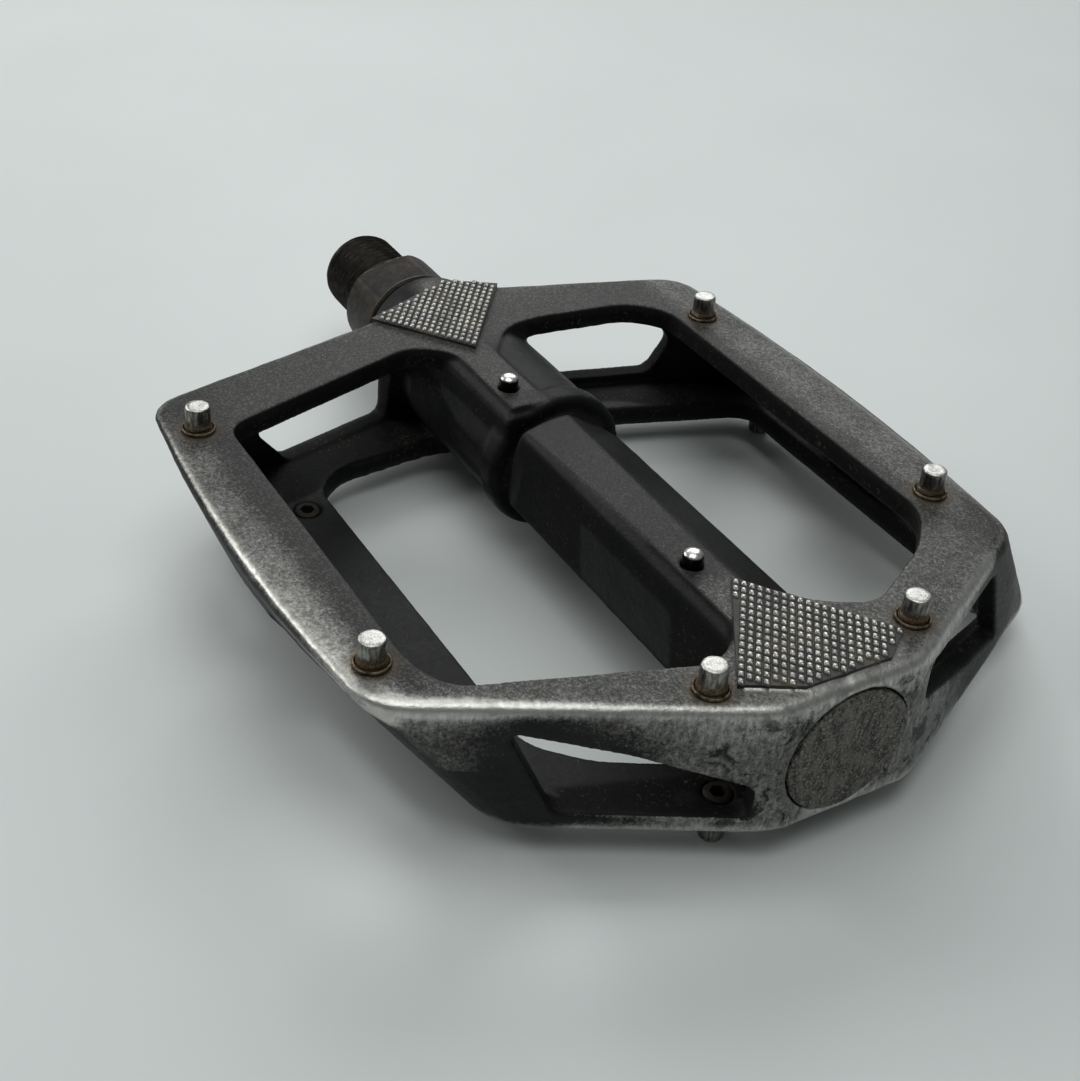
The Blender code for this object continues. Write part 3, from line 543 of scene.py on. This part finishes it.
def wear_map(mesh, walls):
    """Attributes for the casting's material, each from 0 to about 1.

    rim: edges struck bare, with a painted highlight along them; hollow: inner corners; sheltered: walls
    that look inward, which the material paints dark as shade; tread: faces with dulled paint and a painted
    sheen; stain: rust round the pins; nose_wall: the outboard wall; rub: how worn the paint is, with the
    rims' painted highlight added in.
    """
    co = positions(mesh)
    normals = vertex_normals(mesh)
    x, y, z = co.T
    side = np.sign(z) * y                       # the same on both faces after half a turn
    level = np.abs(normals[:, 2])
    broad = convexity(mesh, co, normals, 14)
    fine = convexity(mesh, co, normals, 3)
    hidden = spread(mesh, shelter(co, normals, walls), 3)
    seen = 1 - hidden

    # places, with left and right as seen from the nose
    tip = 1 - step(x, *TIP)
    ahead = step(x, *AHEAD)
    nose = step(x, *NOSE)
    left = step(-side, *LEFT)
    right = step(side, *RIGHT)
    outboard = step(normals[:, 0], 0.25, 0.7) * ahead * seen
    left_nook = 1 - step(np.hypot(x - (NOSE_X - 21.0), side + RAIL_Y - 3.0), *LEFT_NOOK)
    on_bar = band(x, 72.0, 122.0, 4.0, 6.0) * (1 - step(np.abs(y), 9.0, 10.0))
    boss = band(x, 48.0, 72.0, 6.0, 1.0) * (1 - step(np.abs(side - 4.0), 5.6, 6.6))
    collar = band(x, 66.4, 73.6, 0.6, 1.2) * (1 - step(np.abs(y), 12.0, 13.0))
    face = step(np.abs(z), *FACE_HEIGHT) * step(level, 0.6, 0.95)
    face = face * (1 - np.maximum(boss, 0.5 * collar))

    # the outer edges, struck bare and carrying a painted highlight, brightest on the left and toward the
    # nose
    corner = step(np.abs(z), *EDGE_HEIGHT) * step(level, 0.15, 0.45)
    corner = corner * (1 - step(level, 0.90, 0.995)) * seen
    away = np.stack([x - MIDDLE_X, y], axis=1)
    away = (away * normals[:, :2]).sum(axis=1) / np.maximum(1.0, np.linalg.norm(away, axis=1))
    by_the_bar = (np.abs(y) < BAR_REACH) & (x < NOSE_X - 9.0)
    outer = step(away, 0.0, 0.25) * np.where(by_the_bar, 0.0, 1.0)
    along_rail = left * (0.30 + 0.30 * step(x, 60.0, 100.0))
    bright = ahead * (1 - 0.8 * right) * (1 - 0.55 * step(x, NOSE_X - 17.0, NOSE_X - 8.0))
    rim = corner * outer * np.maximum(np.maximum(bright, along_rail), 0.22)
    rim = np.minimum(1.0, 1.35 * spread(mesh, rim, 7))
    # a wide soft spread of the rim: painted highlight, which also widens the worn band
    halo = np.minimum(1.0, 2.2 * spread(mesh, rim, 24)) * seen

    # the rubbed places
    rail_mid = step(-side, RAIL_Y - 10.0, RAIL_Y - 3.5) * step(x, 40.0, 66.0)
    rail_mid = rail_mid * (0.27 + 0.17 * step(x, 80.0, 115.0))
    bar_top = 1 - step(np.abs(side + 6.0), 4.0, 6.5)
    under_rim = step(z, *UNDER_RIM)
    on_face = 0.14 + rail_mid + 0.23 * right * (1 - 0.6 * ahead) + 0.16 * tip + 0.05 * bar_top
    on_face = on_face + 0.20 * ahead * (1 - right)
    on_wall = 0.04 + 0.46 * nose + 0.14 * under_rim + 0.34 * left_nook
    on_wall = on_wall * (1 - 0.7 * right * (1 - nose))
    # the rim and its soft spread add a painted highlight to the rub as well as edge wear
    on_edge = 0.45 * rim + 0.40 * halo * (0.4 + 0.6 * left_nook)
    thin_edge = step(fine, 0.03, 0.09) * (0.42 - 0.30 * hidden + 0.14 * right * face)
    low_edge = step(-z, *LOW_EDGE) * ahead * seen * 0.25

    # the rim attribute: struck metal and a painted highlight
    set_attribute(mesh, "rim", np.maximum(rim, 0.8 * halo * left_nook))
    set_attribute(mesh, "hollow", step(-broad, 0.02, 0.15))
    set_attribute(mesh, "sheltered", hidden)
    set_attribute(mesh, "tread", face * (1 - 0.5 * on_bar) * (1 - 0.4 * left))
    set_attribute(mesh, "stain", pin_stains(x, y, z, face))
    set_attribute(mesh, "nose_wall", nose * (1 - face))
    set_attribute(mesh, "rub", face * on_face + outboard * on_wall + on_edge + thin_edge + low_edge)


# ---- knurled pads -----------------------------------------------------------------------------
# the pads' outlines on the upper face, the same as on the solid
INBOARD_PAD = [Vector(p) for p in ((38.2, -15.8), (52.6, -4.8), (35.2, 8.8), (30.9, 1.2))]
OUTBOARD_PAD = [Vector(p) for p in ((119.8, -3.2), (137.4, -15.0), (141.2, -7.5), (141.4, 5.5),
                                    (137.8, 10.6))]
KNURL_U = Vector((0.795, 0.607)) * 1.08     # steps between the rows of pyramids
KNURL_V = Vector((0.795, -0.607)) * 1.40
KNURL_ROWS = 40                             # either way from the outline's first corner
KNURL_MARGIN = 0.36                         # from a pyramid's middle to the slab's edge
PAD_FOOT = 0.3                              # how far the slab is sunk into the face
PAD_BASE = 0.74                             # height of the slab above the face
PAD_TIP = 1.22                              # height of the sharpest pyramids
PAD_GROWTH = 0.15                           # the slab stands this far outside the solid's pad


def inside(point, outline, margin):
    """True if the point is in the convex outline, further than the margin from its edges."""
    for a, b in zip(outline, outline[1:] + outline[:1]):
        edge = b - a
        if edge.cross(point - a) / edge.length < margin:
            return False
    return True


def knurl_pad(name, outline, upside_down, mat):
    """Slab with rows of small blunt pyramids."""
    bm = bmesh.new()
    heights = (FACE_Z - PAD_FOOT, FACE_Z + PAD_BASE)
    middle = sum(outline, Vector((0.0, 0.0))) / len(outline)
    grown = [p + (p - middle).normalized() * PAD_GROWTH for p in outline]
    rings = [[bm.verts.new((p.x, p.y, h)) for p in grown] for h in heights]
    count = len(outline)
    for k in range(count):
        after = (k + 1) % count
        bm.faces.new((rings[0][k], rings[0][after], rings[1][after], rings[1][k]))
    bm.faces.new(rings[0])
    bm.faces.new(rings[1])
    slab = set(bm.verts)
    start = outline[0]
    for i in range(-KNURL_ROWS, KNURL_ROWS + 1):
        for j in range(-KNURL_ROWS, KNURL_ROWS + 1):
            spot = start + KNURL_U * (i + 0.5) + KNURL_V * (j + 0.5)
            if inside(spot, grown, KNURL_MARGIN):
                pyramid(bm, spot)
    bmesh.ops.recalc_face_normals(bm, faces=bm.faces)
    tips = [0.0 if v in slab else max(0.0, (v.co.z - FACE_Z - PAD_BASE) / (PAD_TIP - PAD_BASE))
            for v in bm.verts]
    bmesh.ops.scale(bm, vec=(MM, MM, MM), verts=bm.verts)
    if upside_down:
        bmesh.ops.rotate(bm, cent=(0, 0, 0), matrix=Matrix.Rotation(math.pi, 3, "X"), verts=bm.verts)
    mesh = bpy.data.meshes.new(name)
    bm.to_mesh(mesh)
    bm.free()
    set_attribute(mesh, "tip", tips)
    new_piece(name, mesh, mat, "platform")
    mesh.set_sharp_from_angle(angle=math.radians(40))


def pyramid(bm, spot):
    """Blunt four-sided point whose base follows the knurl's two directions."""
    seed = Vector((spot.x, spot.y, 0.0))
    worn = 0.02 + 0.10 * (noise.noise(seed * 0.25) + 0.5)
    tip = PAD_TIP - worn + 0.03 * noise.noise(seed * 3.0)
    levels = ((FACE_Z + PAD_BASE - 0.02, 0.46), (FACE_Z + tip - 0.10, 0.28), (FACE_Z + tip, 0.15))
    rings = []
    for height, share in levels:
        ring = []
        for a, b in ((-1, -1), (1, -1), (1, 1), (-1, 1)):
            corner = spot + (KNURL_U * a + KNURL_V * b) * share
            ring.append(bm.verts.new((corner.x, corner.y, height)))
        rings.append(ring)
    for lower, upper in zip(rings, rings[1:]):
        for k in range(4):
            after = (k + 1) % 4
            bm.faces.new((lower[k], lower[after], upper[after], upper[k]))
    bm.faces.new(rings[0])
    bm.faces.new(rings[-1])


# ---- pins and screws --------------------------------------------------------------------------
THREAD_TURN = 0.55                          # rise of the thread in one turn
SHANK_R = 1.8
THREAD_TOP_R = 2.0
SHANK_LOW = 1.0                             # the thread starts this far above the face
THREAD_STEPS = 36
SOCKET = (1.15, 1.6)                        # radius and depth
SCREW_SOCKET = (0.6, 0.9)
SCREW_STEPS = 24
SCREW_DOME = 0.75
WASHER_INSET = 0.3                          # the visible ring is this much smaller than the solid


def stud(name, profile, thread, socket, seed, segments=40):
    """Headless screw about +Z from (height, radius) points, with a spiral thread.

    thread is (low, high, depth), and socket is the (radius, depth) of the hex socket in the foot.
    """
    bm = bmesh.new()
    rings = []
    for height, radius in profile:
        ring = []
        for k in range(segments):
            angle = 2 * math.pi * k / segments
            r = radius
            if thread[0] <= height <= thread[1]:
                phase = (height / THREAD_TURN - angle / (2 * math.pi)) % 1.0
                r -= thread[2] * abs(2 * phase - 1)
            ring.append(bm.verts.new((r * math.cos(angle), r * math.sin(angle), height)))
        rings.append(ring)
    for upper, lower in zip(rings, rings[1:]):
        for k in range(segments):
            after = (k + 1) % segments
            bm.faces.new((upper[k], lower[k], lower[after], upper[after]))
    dome(bm, rings[0])
    hex_socket(bm, rings[-1], *socket)
    bmesh.ops.recalc_face_normals(bm, faces=bm.faces)
    top = profile[0][0]
    for vert in bm.verts:
        if vert.co.z > top - 0.5:
            vert.co.z += 0.07 * noise.noise(Vector((vert.co.x * 1.1, vert.co.y * 1.1, seed)))
    heights = [vert.co.z / top for vert in bm.verts]
    bmesh.ops.scale(bm, vec=(MM, MM, MM), verts=bm.verts)
    mesh = bpy.data.meshes.new(name)
    bm.to_mesh(mesh)
    bm.free()
    set_attribute(mesh, "height", heights)
    return mesh


def dome(bm, ring):
    """Close a ring with two smaller rings and a fan, so that the end can be dented."""
    height = ring[0].co.z
    outer = ring
    for share in (0.66, 0.33):
        inner = [bm.verts.new((v.co.x * share, v.co.y * share, height)) for v in ring]
        for k in range(len(ring)):
            after = (k + 1) % len(ring)
            bm.faces.new((outer[k], outer[after], inner[after], inner[k]))
        outer = inner
    middle = bm.verts.new((0.0, 0.0, height))
    for k in range(len(ring)):
        bm.faces.new((outer[k], outer[(k + 1) % len(ring)], middle))


def hex_socket(bm, ring, radius, depth):
    """Six-sided hole in the end that the ring bounds."""
    start = ring[0].co.z
    count = len(ring)
    rims = []
    for height in (start, start + depth):
        rim = []
        for k in range(count):
            angle = 2 * math.pi * k / count
            across = radius * math.cos(math.pi / 6) / math.cos((angle % (math.pi / 3)) - math.pi / 6)
            rim.append(bm.verts.new((across * math.cos(angle), across * math.sin(angle), height)))
        rims.append(rim)
    for a, b in ((ring, rims[0]), (rims[0], rims[1])):
        for k in range(count):
            after = (k + 1) % count
            bm.faces.new((a[k], a[after], b[after], b[k]))
    bm.faces.new(rims[1])


def place_stud(name, mesh, node, mat, upside_down):
    spot = centre(node)
    side = -1.0 if upside_down else 1.0
    turn = Matrix.Rotation(math.pi, 4, "X") if upside_down else Matrix.Identity(4)
    mesh.transform(Matrix.Translation((spot.x, spot.y, side * FACE_Z * MM)) @ turn)
    new_piece(name, mesh, mat, "platform", [node])
    mesh.set_sharp_from_angle(angle=math.radians(50))


def traction_pins(mat, washer_mat):
    profile = rounded([(PIN_TOP, SHANK_R - 0.35), (PIN_TOP - 0.12, SHANK_R - 0.10),
                       (PIN_TOP - 0.6, SHANK_R), (SHANK_LOW + 0.25, SHANK_R),
                       (SHANK_LOW, THREAD_TOP_R - 0.04)], 0.2)
    for k in range(1, THREAD_STEPS + 1):
        height = SHANK_LOW - (SHANK_LOW + PIN_FOOT - 0.15) * k / THREAD_STEPS
        profile.append((height, THREAD_TOP_R))
    profile.append((-PIN_FOOT, THREAD_TOP_R - 0.25))
    for face in ("top", "bottom"):
        for number in range(1, 7):
            tag = "%s_%d" % (face, number)
            seed = number * 3.7 + (20.0 if face == "bottom" else 0.0)
            mesh = stud("pin_" + tag, profile, (-PIN_FOOT + 0.1, SHANK_LOW - 0.1, 0.22), SOCKET, seed)
            place_stud("threaded_pin_" + tag, mesh, "traction_pin_" + tag, mat,
                       face == "bottom")
            washer(tag, washer_mat, seed)


def washer(tag, mat, seed):
    """Thin rusted ring at a pin's foot, a little uneven."""
    low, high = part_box("pin_washer_" + tag)
    outer = (high.x - low.x) / 2 / MM - WASHER_INSET
    inner = THREAD_TOP_R + 0.13
    thick = (high.z - low.z) / MM
    ring = []
    for k in range(14):
        angle = 2 * math.pi * k / 14
        x = thick / 2 * math.sin(angle) * 0.98
        ring.append((x, (outer + inner) / 2 + (outer - inner) / 2 * math.cos(angle)))
    mesh = lathe_mesh("washer_" + tag, ring[::-1], 40)
    co = positions(mesh)
    for k, (_, y, z) in enumerate(co):
        co[k, 0] += 0.05 * noise.noise((y * 0.7, z * 0.7, seed))
    set_positions(mesh, co)
    spot = centre("pin_washer_" + tag)
    mesh.transform(Matrix.Translation(spot) @ Matrix.Rotation(math.pi / 2, 4, "Y"))
    new_piece("foot_ring_" + tag, mesh, mat, "platform", ["pin_washer_" + tag])


def bar_screws(mat):
    """Short studs with dark sides and domed bright ends."""
    for face in ("top", "bottom"):
        for number in (1, 2):
            tag = "%s_%d" % (face, number)
            node = "bar_screw_" + tag
            low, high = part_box(node)
            radius = (high.x - low.x) / 2 / MM
            rise = (high.z if face == "top" else -low.z) / MM - FACE_Z
            foot = (high.z - low.z) / MM - rise
            profile = []
            for k in range(8):
                angle = math.radians(12 + 78 * k / 7)
                profile.append((rise - SCREW_DOME * (1 - math.cos(angle)), radius * math.sin(angle)))
            profile.append((0.0, radius))
            for k in range(1, SCREW_STEPS + 1):
                profile.append((-(foot - 0.1) * k / SCREW_STEPS, radius))
            profile.append((-foot, radius - 0.25))
            mesh = stud("screw_" + tag, profile, (-foot + 0.1, -0.05, 0.16), SCREW_SOCKET,
                        number * 5.1, segments=36)
            place_stud("set_screw_" + tag, mesh, node, mat, face == "bottom")


# ---- spindle ----------------------------------------------------------------------------------
THREAD_R = 7.1
THREAD_END = 13.2
PITCH = 1.27                                # 20 turns to the inch
THREAD_DEPTH = 0.72
COLLAR_R = 9.0
COLLAR_END = 23.2
FLAT_END = 22.4
ACROSS_FLATS = 15.0
FLAT_ANGLE = math.radians(105.0)
SPINDLE_SEGMENTS = 120


def spindle_radius(x, angle, profile):
    """Radius of the spindle at a place along it and an angle round it."""
    radius = float(np.interp(x, [p[0] for p in profile], [p[1] for p in profile]))
    if 0.6 < x < THREAD_END - 0.9:
        phase = (x / PITCH - angle / (2 * math.pi)) % 1.0
        radius -= THREAD_DEPTH * (1 - abs(2 * phase - 1)) * min(1.0, (THREAD_END - 0.9 - x) / 0.8)
    if THREAD_END - 0.1 < x < FLAT_END:
        across = abs(math.cos(angle - FLAT_ANGLE))
        if across > 1e-6:
            radius = min(radius, ACROSS_FLATS / 2 / across)
    return radius


def threaded_spindle(mat):
    """The whole spindle as one skin: thread, wrench flats, journals and the slim middle."""
    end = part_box("spindle")[1].x / MM
    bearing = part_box("bearing_inner_race")[0].x / MM
    bush_start, bush_end = (v.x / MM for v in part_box("inboard_bush"))
    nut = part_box("lock_nut")[0].x / MM
    profile = [(0.0, 6.2), (0.9, THREAD_R), (THREAD_END - 0.9, THREAD_R), (THREAD_END - 0.5, 6.6),
               (THREAD_END - 0.02, 6.6), (THREAD_END, COLLAR_R - 0.8), (THREAD_END + 0.7, COLLAR_R),
               (COLLAR_END - 0.4, COLLAR_R), (COLLAR_END - 0.02, COLLAR_R - 0.35), (COLLAR_END, 7.0),
               (bush_start - 0.32, 7.0), (bush_start - 0.3, 6.5), (bush_end + 1.5, 6.5),
               (60.0, 4.6), (bearing - 0.12, 4.6), (bearing - 0.1, 4.0),
               (nut - 0.07, 4.0), (nut - 0.05, 3.4), (end - 0.4, 3.4), (end, 3.0)]
    stations = list(np.arange(0.0, THREAD_END - 0.1, 0.09))
    stations += list(np.arange(THREAD_END + 0.15, COLLAR_END, 0.25)) + [FLAT_END - 0.01, FLAT_END + 0.12]
    stations += [x for x, _ in profile] + list(np.arange(46.0, bearing, 4.0))
    stations = sorted(set(round(float(x), 4) for x in stations))
    bm = bmesh.new()
    rings = []
    for x in stations:
        ring = []
        for k in range(SPINDLE_SEGMENTS):
            angle = 2 * math.pi * k / SPINDLE_SEGMENTS
            r = spindle_radius(x, angle, profile)
            r += 0.02 * noise.noise((x * 0.5, r * math.cos(angle), r * math.sin(angle)))
            ring.append(bm.verts.new((x * MM, r * math.cos(angle) * MM, r * math.sin(angle) * MM)))
        rings.append(ring)
    for a, b in zip(rings, rings[1:]):
        for k in range(SPINDLE_SEGMENTS):
            after = (k + 1) % SPINDLE_SEGMENTS
            bm.faces.new((a[k], a[after], b[after], b[k]))
    dimple = [bm.verts.new((0.0, v.co.y * 0.3, v.co.z * 0.3)) for v in rings[0]]
    bottom = bm.verts.new((1.2 * MM, 0.0, 0.0))
    for k in range(SPINDLE_SEGMENTS):
        after = (k + 1) % SPINDLE_SEGMENTS
        bm.faces.new((rings[0][k], rings[0][after], dimple[after], dimple[k]))
        bm.faces.new((dimple[k], dimple[after], bottom))
    bm.faces.new(rings[-1])
    mesh = mesh_from("threaded_spindle", bm)
    co = positions(mesh)
    lift = ((co - smoothed(mesh, co, 6)) * vertex_normals(mesh)).sum(axis=1)
    set_attribute(mesh, "edge", step(lift, 0.05, 0.3))
    new_piece("threaded_spindle", mesh, mat, "spindle", ["spindle"])
    mesh.set_sharp_from_angle(angle=math.radians(32))


# ---- cap, seals and bearing -------------------------------------------------------------------
CAP_NECK = 7.2                              # radius of the part inside the bore
CAP_NECK_LENGTH = 1.75
GROOVE_GAP = 0.05                           # between a ball and its race


def end_cap(mat):
    """Push-in cap with a faintly dished, pitted face and a soft rim."""
    low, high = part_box("end_cap")
    start, end = low.x / MM, high.x / MM
    radius = high.y / MM
    shoulder = start + CAP_NECK_LENGTH
    outline = rounded([(start, 0.0), (start, CAP_NECK), (shoulder, CAP_NECK), (shoulder, radius),
                       (end - 0.1, radius), (end - 0.02, radius - 0.9)], 0.25)
    face = [(end - 0.02, radius * share) for share in np.linspace(0.88, 0.04, 26)]
    face += [(end - 0.02, 0.0)]
    mesh = lathe_mesh("end_cap", outline + face, 128)
    co = positions(mesh)
    for k, (x, y, z) in enumerate(co):
        if x > end - 0.3:
            dish = 0.10 * max(0.0, 1.0 - (y * y + z * z) / (radius * 0.8) ** 2)
            pits = 0.10 * noise.noise((3.0, y * 0.5, z * 0.5)) + 0.06 * noise.noise((9.0, y * 1.4, z * 1.4))
            co[k, 0] = min(end, x - dish + pits * 0.6 - 0.06)
    set_positions(mesh, co)
    new_piece("pressed_cap", mesh, mat, "platform", ["end_cap"])


def soft_ring(node, inner, mat, body, corner, lips=0):
    """Turned ring in a node's place, with rounded corners and, on a seal, small lips."""
    low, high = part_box(node)
    start, end = low.x / MM, high.x / MM
    outer = high.y / MM
    points = [(start, (inner + outer) / 2), (start, outer)]
    for k in range(lips):
        x = start + (end - start) * (k + 1) / (lips + 1)
        points += [(x - 0.25, outer), (x, outer - 0.3), (x + 0.25, outer)]
    points += [(end, outer), (end, inner), (start, inner), (start, (inner + outer) / 2 - 0.01)]
    mesh = lathe_mesh(node, rounded(points, corner), 96)
    new_piece("turned_" + node, mesh, mat, body, [node])
    mesh.set_sharp_from_angle(angle=math.radians(45))


def o_ring(mat):
    low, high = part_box("cap_o_ring")
    middle = (low.x + high.x) / 2 / MM
    section = (high.x - low.x) / 2 / MM
    ring_r = high.y / MM - section
    profile = []
    for k in range(20):
        angle = 2 * math.pi * k / 20
        profile.append((middle - section * math.sin(angle), ring_r + section * math.cos(angle)))
    mesh = lathe_mesh("o_ring", profile, 96)
    new_piece("round_o_ring", mesh, mat, "platform", ["cap_o_ring"])


def bearing_balls(mat):
    for number in range(1, 10):
        node = "bearing_ball_%d" % number
        low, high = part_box(node)
        bm = bmesh.new()
        bmesh.ops.create_icosphere(bm, subdivisions=3, radius=(high.x - low.x) / 2)
        bmesh.ops.translate(bm, vec=centre(node), verts=bm.verts)
        new_piece("ground_ball_%d" % number, mesh_from(node, bm), mat, "ball_set", [node])


def race(node, plain_r, flank_r, direction, mat, body):
    """Bearing race with a round groove for the balls."""
    low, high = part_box(node)
    start, end = low.x / MM, high.x / MM
    middle = (start + end) / 2
    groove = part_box("bearing_ball_1")
    ball_r = (groove[1].x - groove[0].x) / 2 / MM + GROOVE_GAP
    pitch_r = centre("bearing_ball_1").y / MM
    arc = []
    for k in range(25):
        angle = math.radians(20 + 140 * k / 24)
        point = (middle - ball_r * math.cos(angle), pitch_r + direction * ball_r * math.sin(angle))
        if (point[1] - flank_r) * direction > 0:
            arc.append(point)
    profile = [(start, plain_r), (start, flank_r)] + arc + [(end, flank_r), (end, plain_r)]
    mesh = lathe_mesh(node, profile, 96)
    new_piece("ground_" + node, mesh, mat, body, [node])
    mesh.set_sharp_from_angle(angle=math.radians(35))


# ---- surroundings -----------------------------------------------------------------------------
CAMERA_PLACE = (248.0, -118.2, 137.7)
CAMERA_AIM = (88.3, -12.8, 0.0)
CAMERA_ROLL = 5.24                          # degrees
CAMERA_LENS = 54.16
LIGHT_AIM = (85, 0, 0)
FLOOR_HALF = 1.6                            # metres


def camera():
    """Looking down on the outboard left corner, tilted a few degrees to the left."""
    data = bpy.data.cameras.new("camera")
    data.sensor_width = 36.0
    data.lens = CAMERA_LENS
    data.clip_start = 0.01
    obj = bpy.data.objects.new("camera", data)
    bpy.context.scene.collection.objects.link(obj)
    place = Vector(CAMERA_PLACE) * MM
    aim = Vector(CAMERA_AIM) * MM
    roll = Quaternion((0.0, 0.0, 1.0), math.radians(CAMERA_ROLL))
    obj.rotation_mode = "QUATERNION"
    obj.rotation_quaternion = (aim - place).to_track_quat("-Z", "Y") @ roll
    obj.location = place
    bpy.context.scene.camera = obj


def softbox(name, place, size, power, color):
    """Rectangular light that faces the pedal."""
    data = bpy.data.lights.new(name, "AREA")
    data.shape = "RECTANGLE"
    data.size, data.size_y = size[0] * MM, size[1] * MM
    data.energy = power
    data.color = color
    obj = bpy.data.objects.new(name, data)
    bpy.context.scene.collection.objects.link(obj)
    obj.location = Vector(place) * MM
    obj.rotation_euler = (Vector(LIGHT_AIM) * MM - obj.location).to_track_quat("-Z", "Y").to_euler()


def studio():
    """Plain pale floor under soft light from above and from the far side."""
    scene = bpy.context.scene
    scene.view_settings.view_transform = "Standard"
    world = bpy.data.worlds.new("studio")
    scene.world = world
    world.use_nodes = True
    background = world.node_tree.nodes["Background"]
    background.inputs["Color"].default_value = (0.80, 0.845, 0.835, 1.0)
    background.inputs["Strength"].default_value = 0.17
    softbox("overhead", (150, -90, 740), (600, 600), 2.45, (0.97, 1.0, 0.99))
    softbox("far_side", (-430, 360, 470), (560, 360), 2.1, (0.98, 1.0, 1.0))
    softbox("window", (-420, -330, 330), (360, 260), 1.4, (1.0, 1.0, 0.98))

    bm = bmesh.new()
    bmesh.ops.create_grid(bm, x_segments=2, y_segments=2, size=FLOOR_HALF)
    mesh = mesh_from("floor", bm)
    mesh.transform(Matrix.Translation((0.0, 0.0, LOWEST_Z)))
    floor = bpy.data.objects.new("floor", mesh)
    scene.collection.objects.link(floor)
    g = Graph("pale_floor")
    cloud = g.noise(0.02, 3.0, 0.5)
    tone = g.mix(cloud, (0.66, 0.69, 0.685), (0.72, 0.75, 0.745))
    mesh.materials.append(g.finish(tone, 0.45, 0.0, specular=0.3))


def main():
    steel = plain_metal("ground_steel", (0.42, 0.42, 0.41), (0.62, 0.62, 0.60), 0.16, 0.28, scale=0.8,
                        relief=0.01)
    bronze = plain_metal("sintered_bronze", (0.33, 0.19, 0.075), (0.50, 0.31, 0.13), 0.34, 0.5,
                         scale=2.0, relief=0.03)
    rusty = plain_metal("rusty_ring", (0.035, 0.028, 0.020), (0.25, 0.20, 0.135), 0.42, 0.7,
                        metallic=0.7, scale=1.2, relief=0.06)
    rubber = rubber_material()
    casting = casting_material()
    knurl = knurl_material()
    pin = pin_material()

    cast_platform(casting)
    for name, outline in (("inboard", INBOARD_PAD), ("outboard", OUTBOARD_PAD)):
        knurl_pad("knurled_pad_%s_top" % name, outline, False, knurl)
        knurl_pad("knurled_pad_%s_bottom" % name, outline, True, knurl)
    traction_pins(pin, rusty)
    bar_screws(screw_material())
    threaded_spindle(oxide_material())
    end_cap(cap_material())
    o_ring(rubber)
    soft_ring("inboard_seal", 7.05, rubber, "platform", 0.3, lips=2)
    soft_ring("inboard_bush", 6.55, bronze, "platform", 0.3)
    soft_ring("bearing_shield_inboard", 5.35, rubber, "platform", 0.06)
    soft_ring("bearing_shield_outboard", 5.35, rubber, "platform", 0.06)
    soft_ring("lock_washer", 4.05, steel, "spindle", 0.1)
    race("bearing_inner_race", 4.05, 5.25, -1.0, steel, "spindle")
    race("bearing_outer_race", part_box("bearing_outer_race")[1].y / MM, 6.75, 1.0, steel, "platform")
    bearing_balls(steel)
    for node, mat in (("ball_cage", bronze), ("lock_nut", steel)):
        NODES[node].data.materials.clear()
        NODES[node].data.materials.append(mat)
    camera()
    studio()


main()
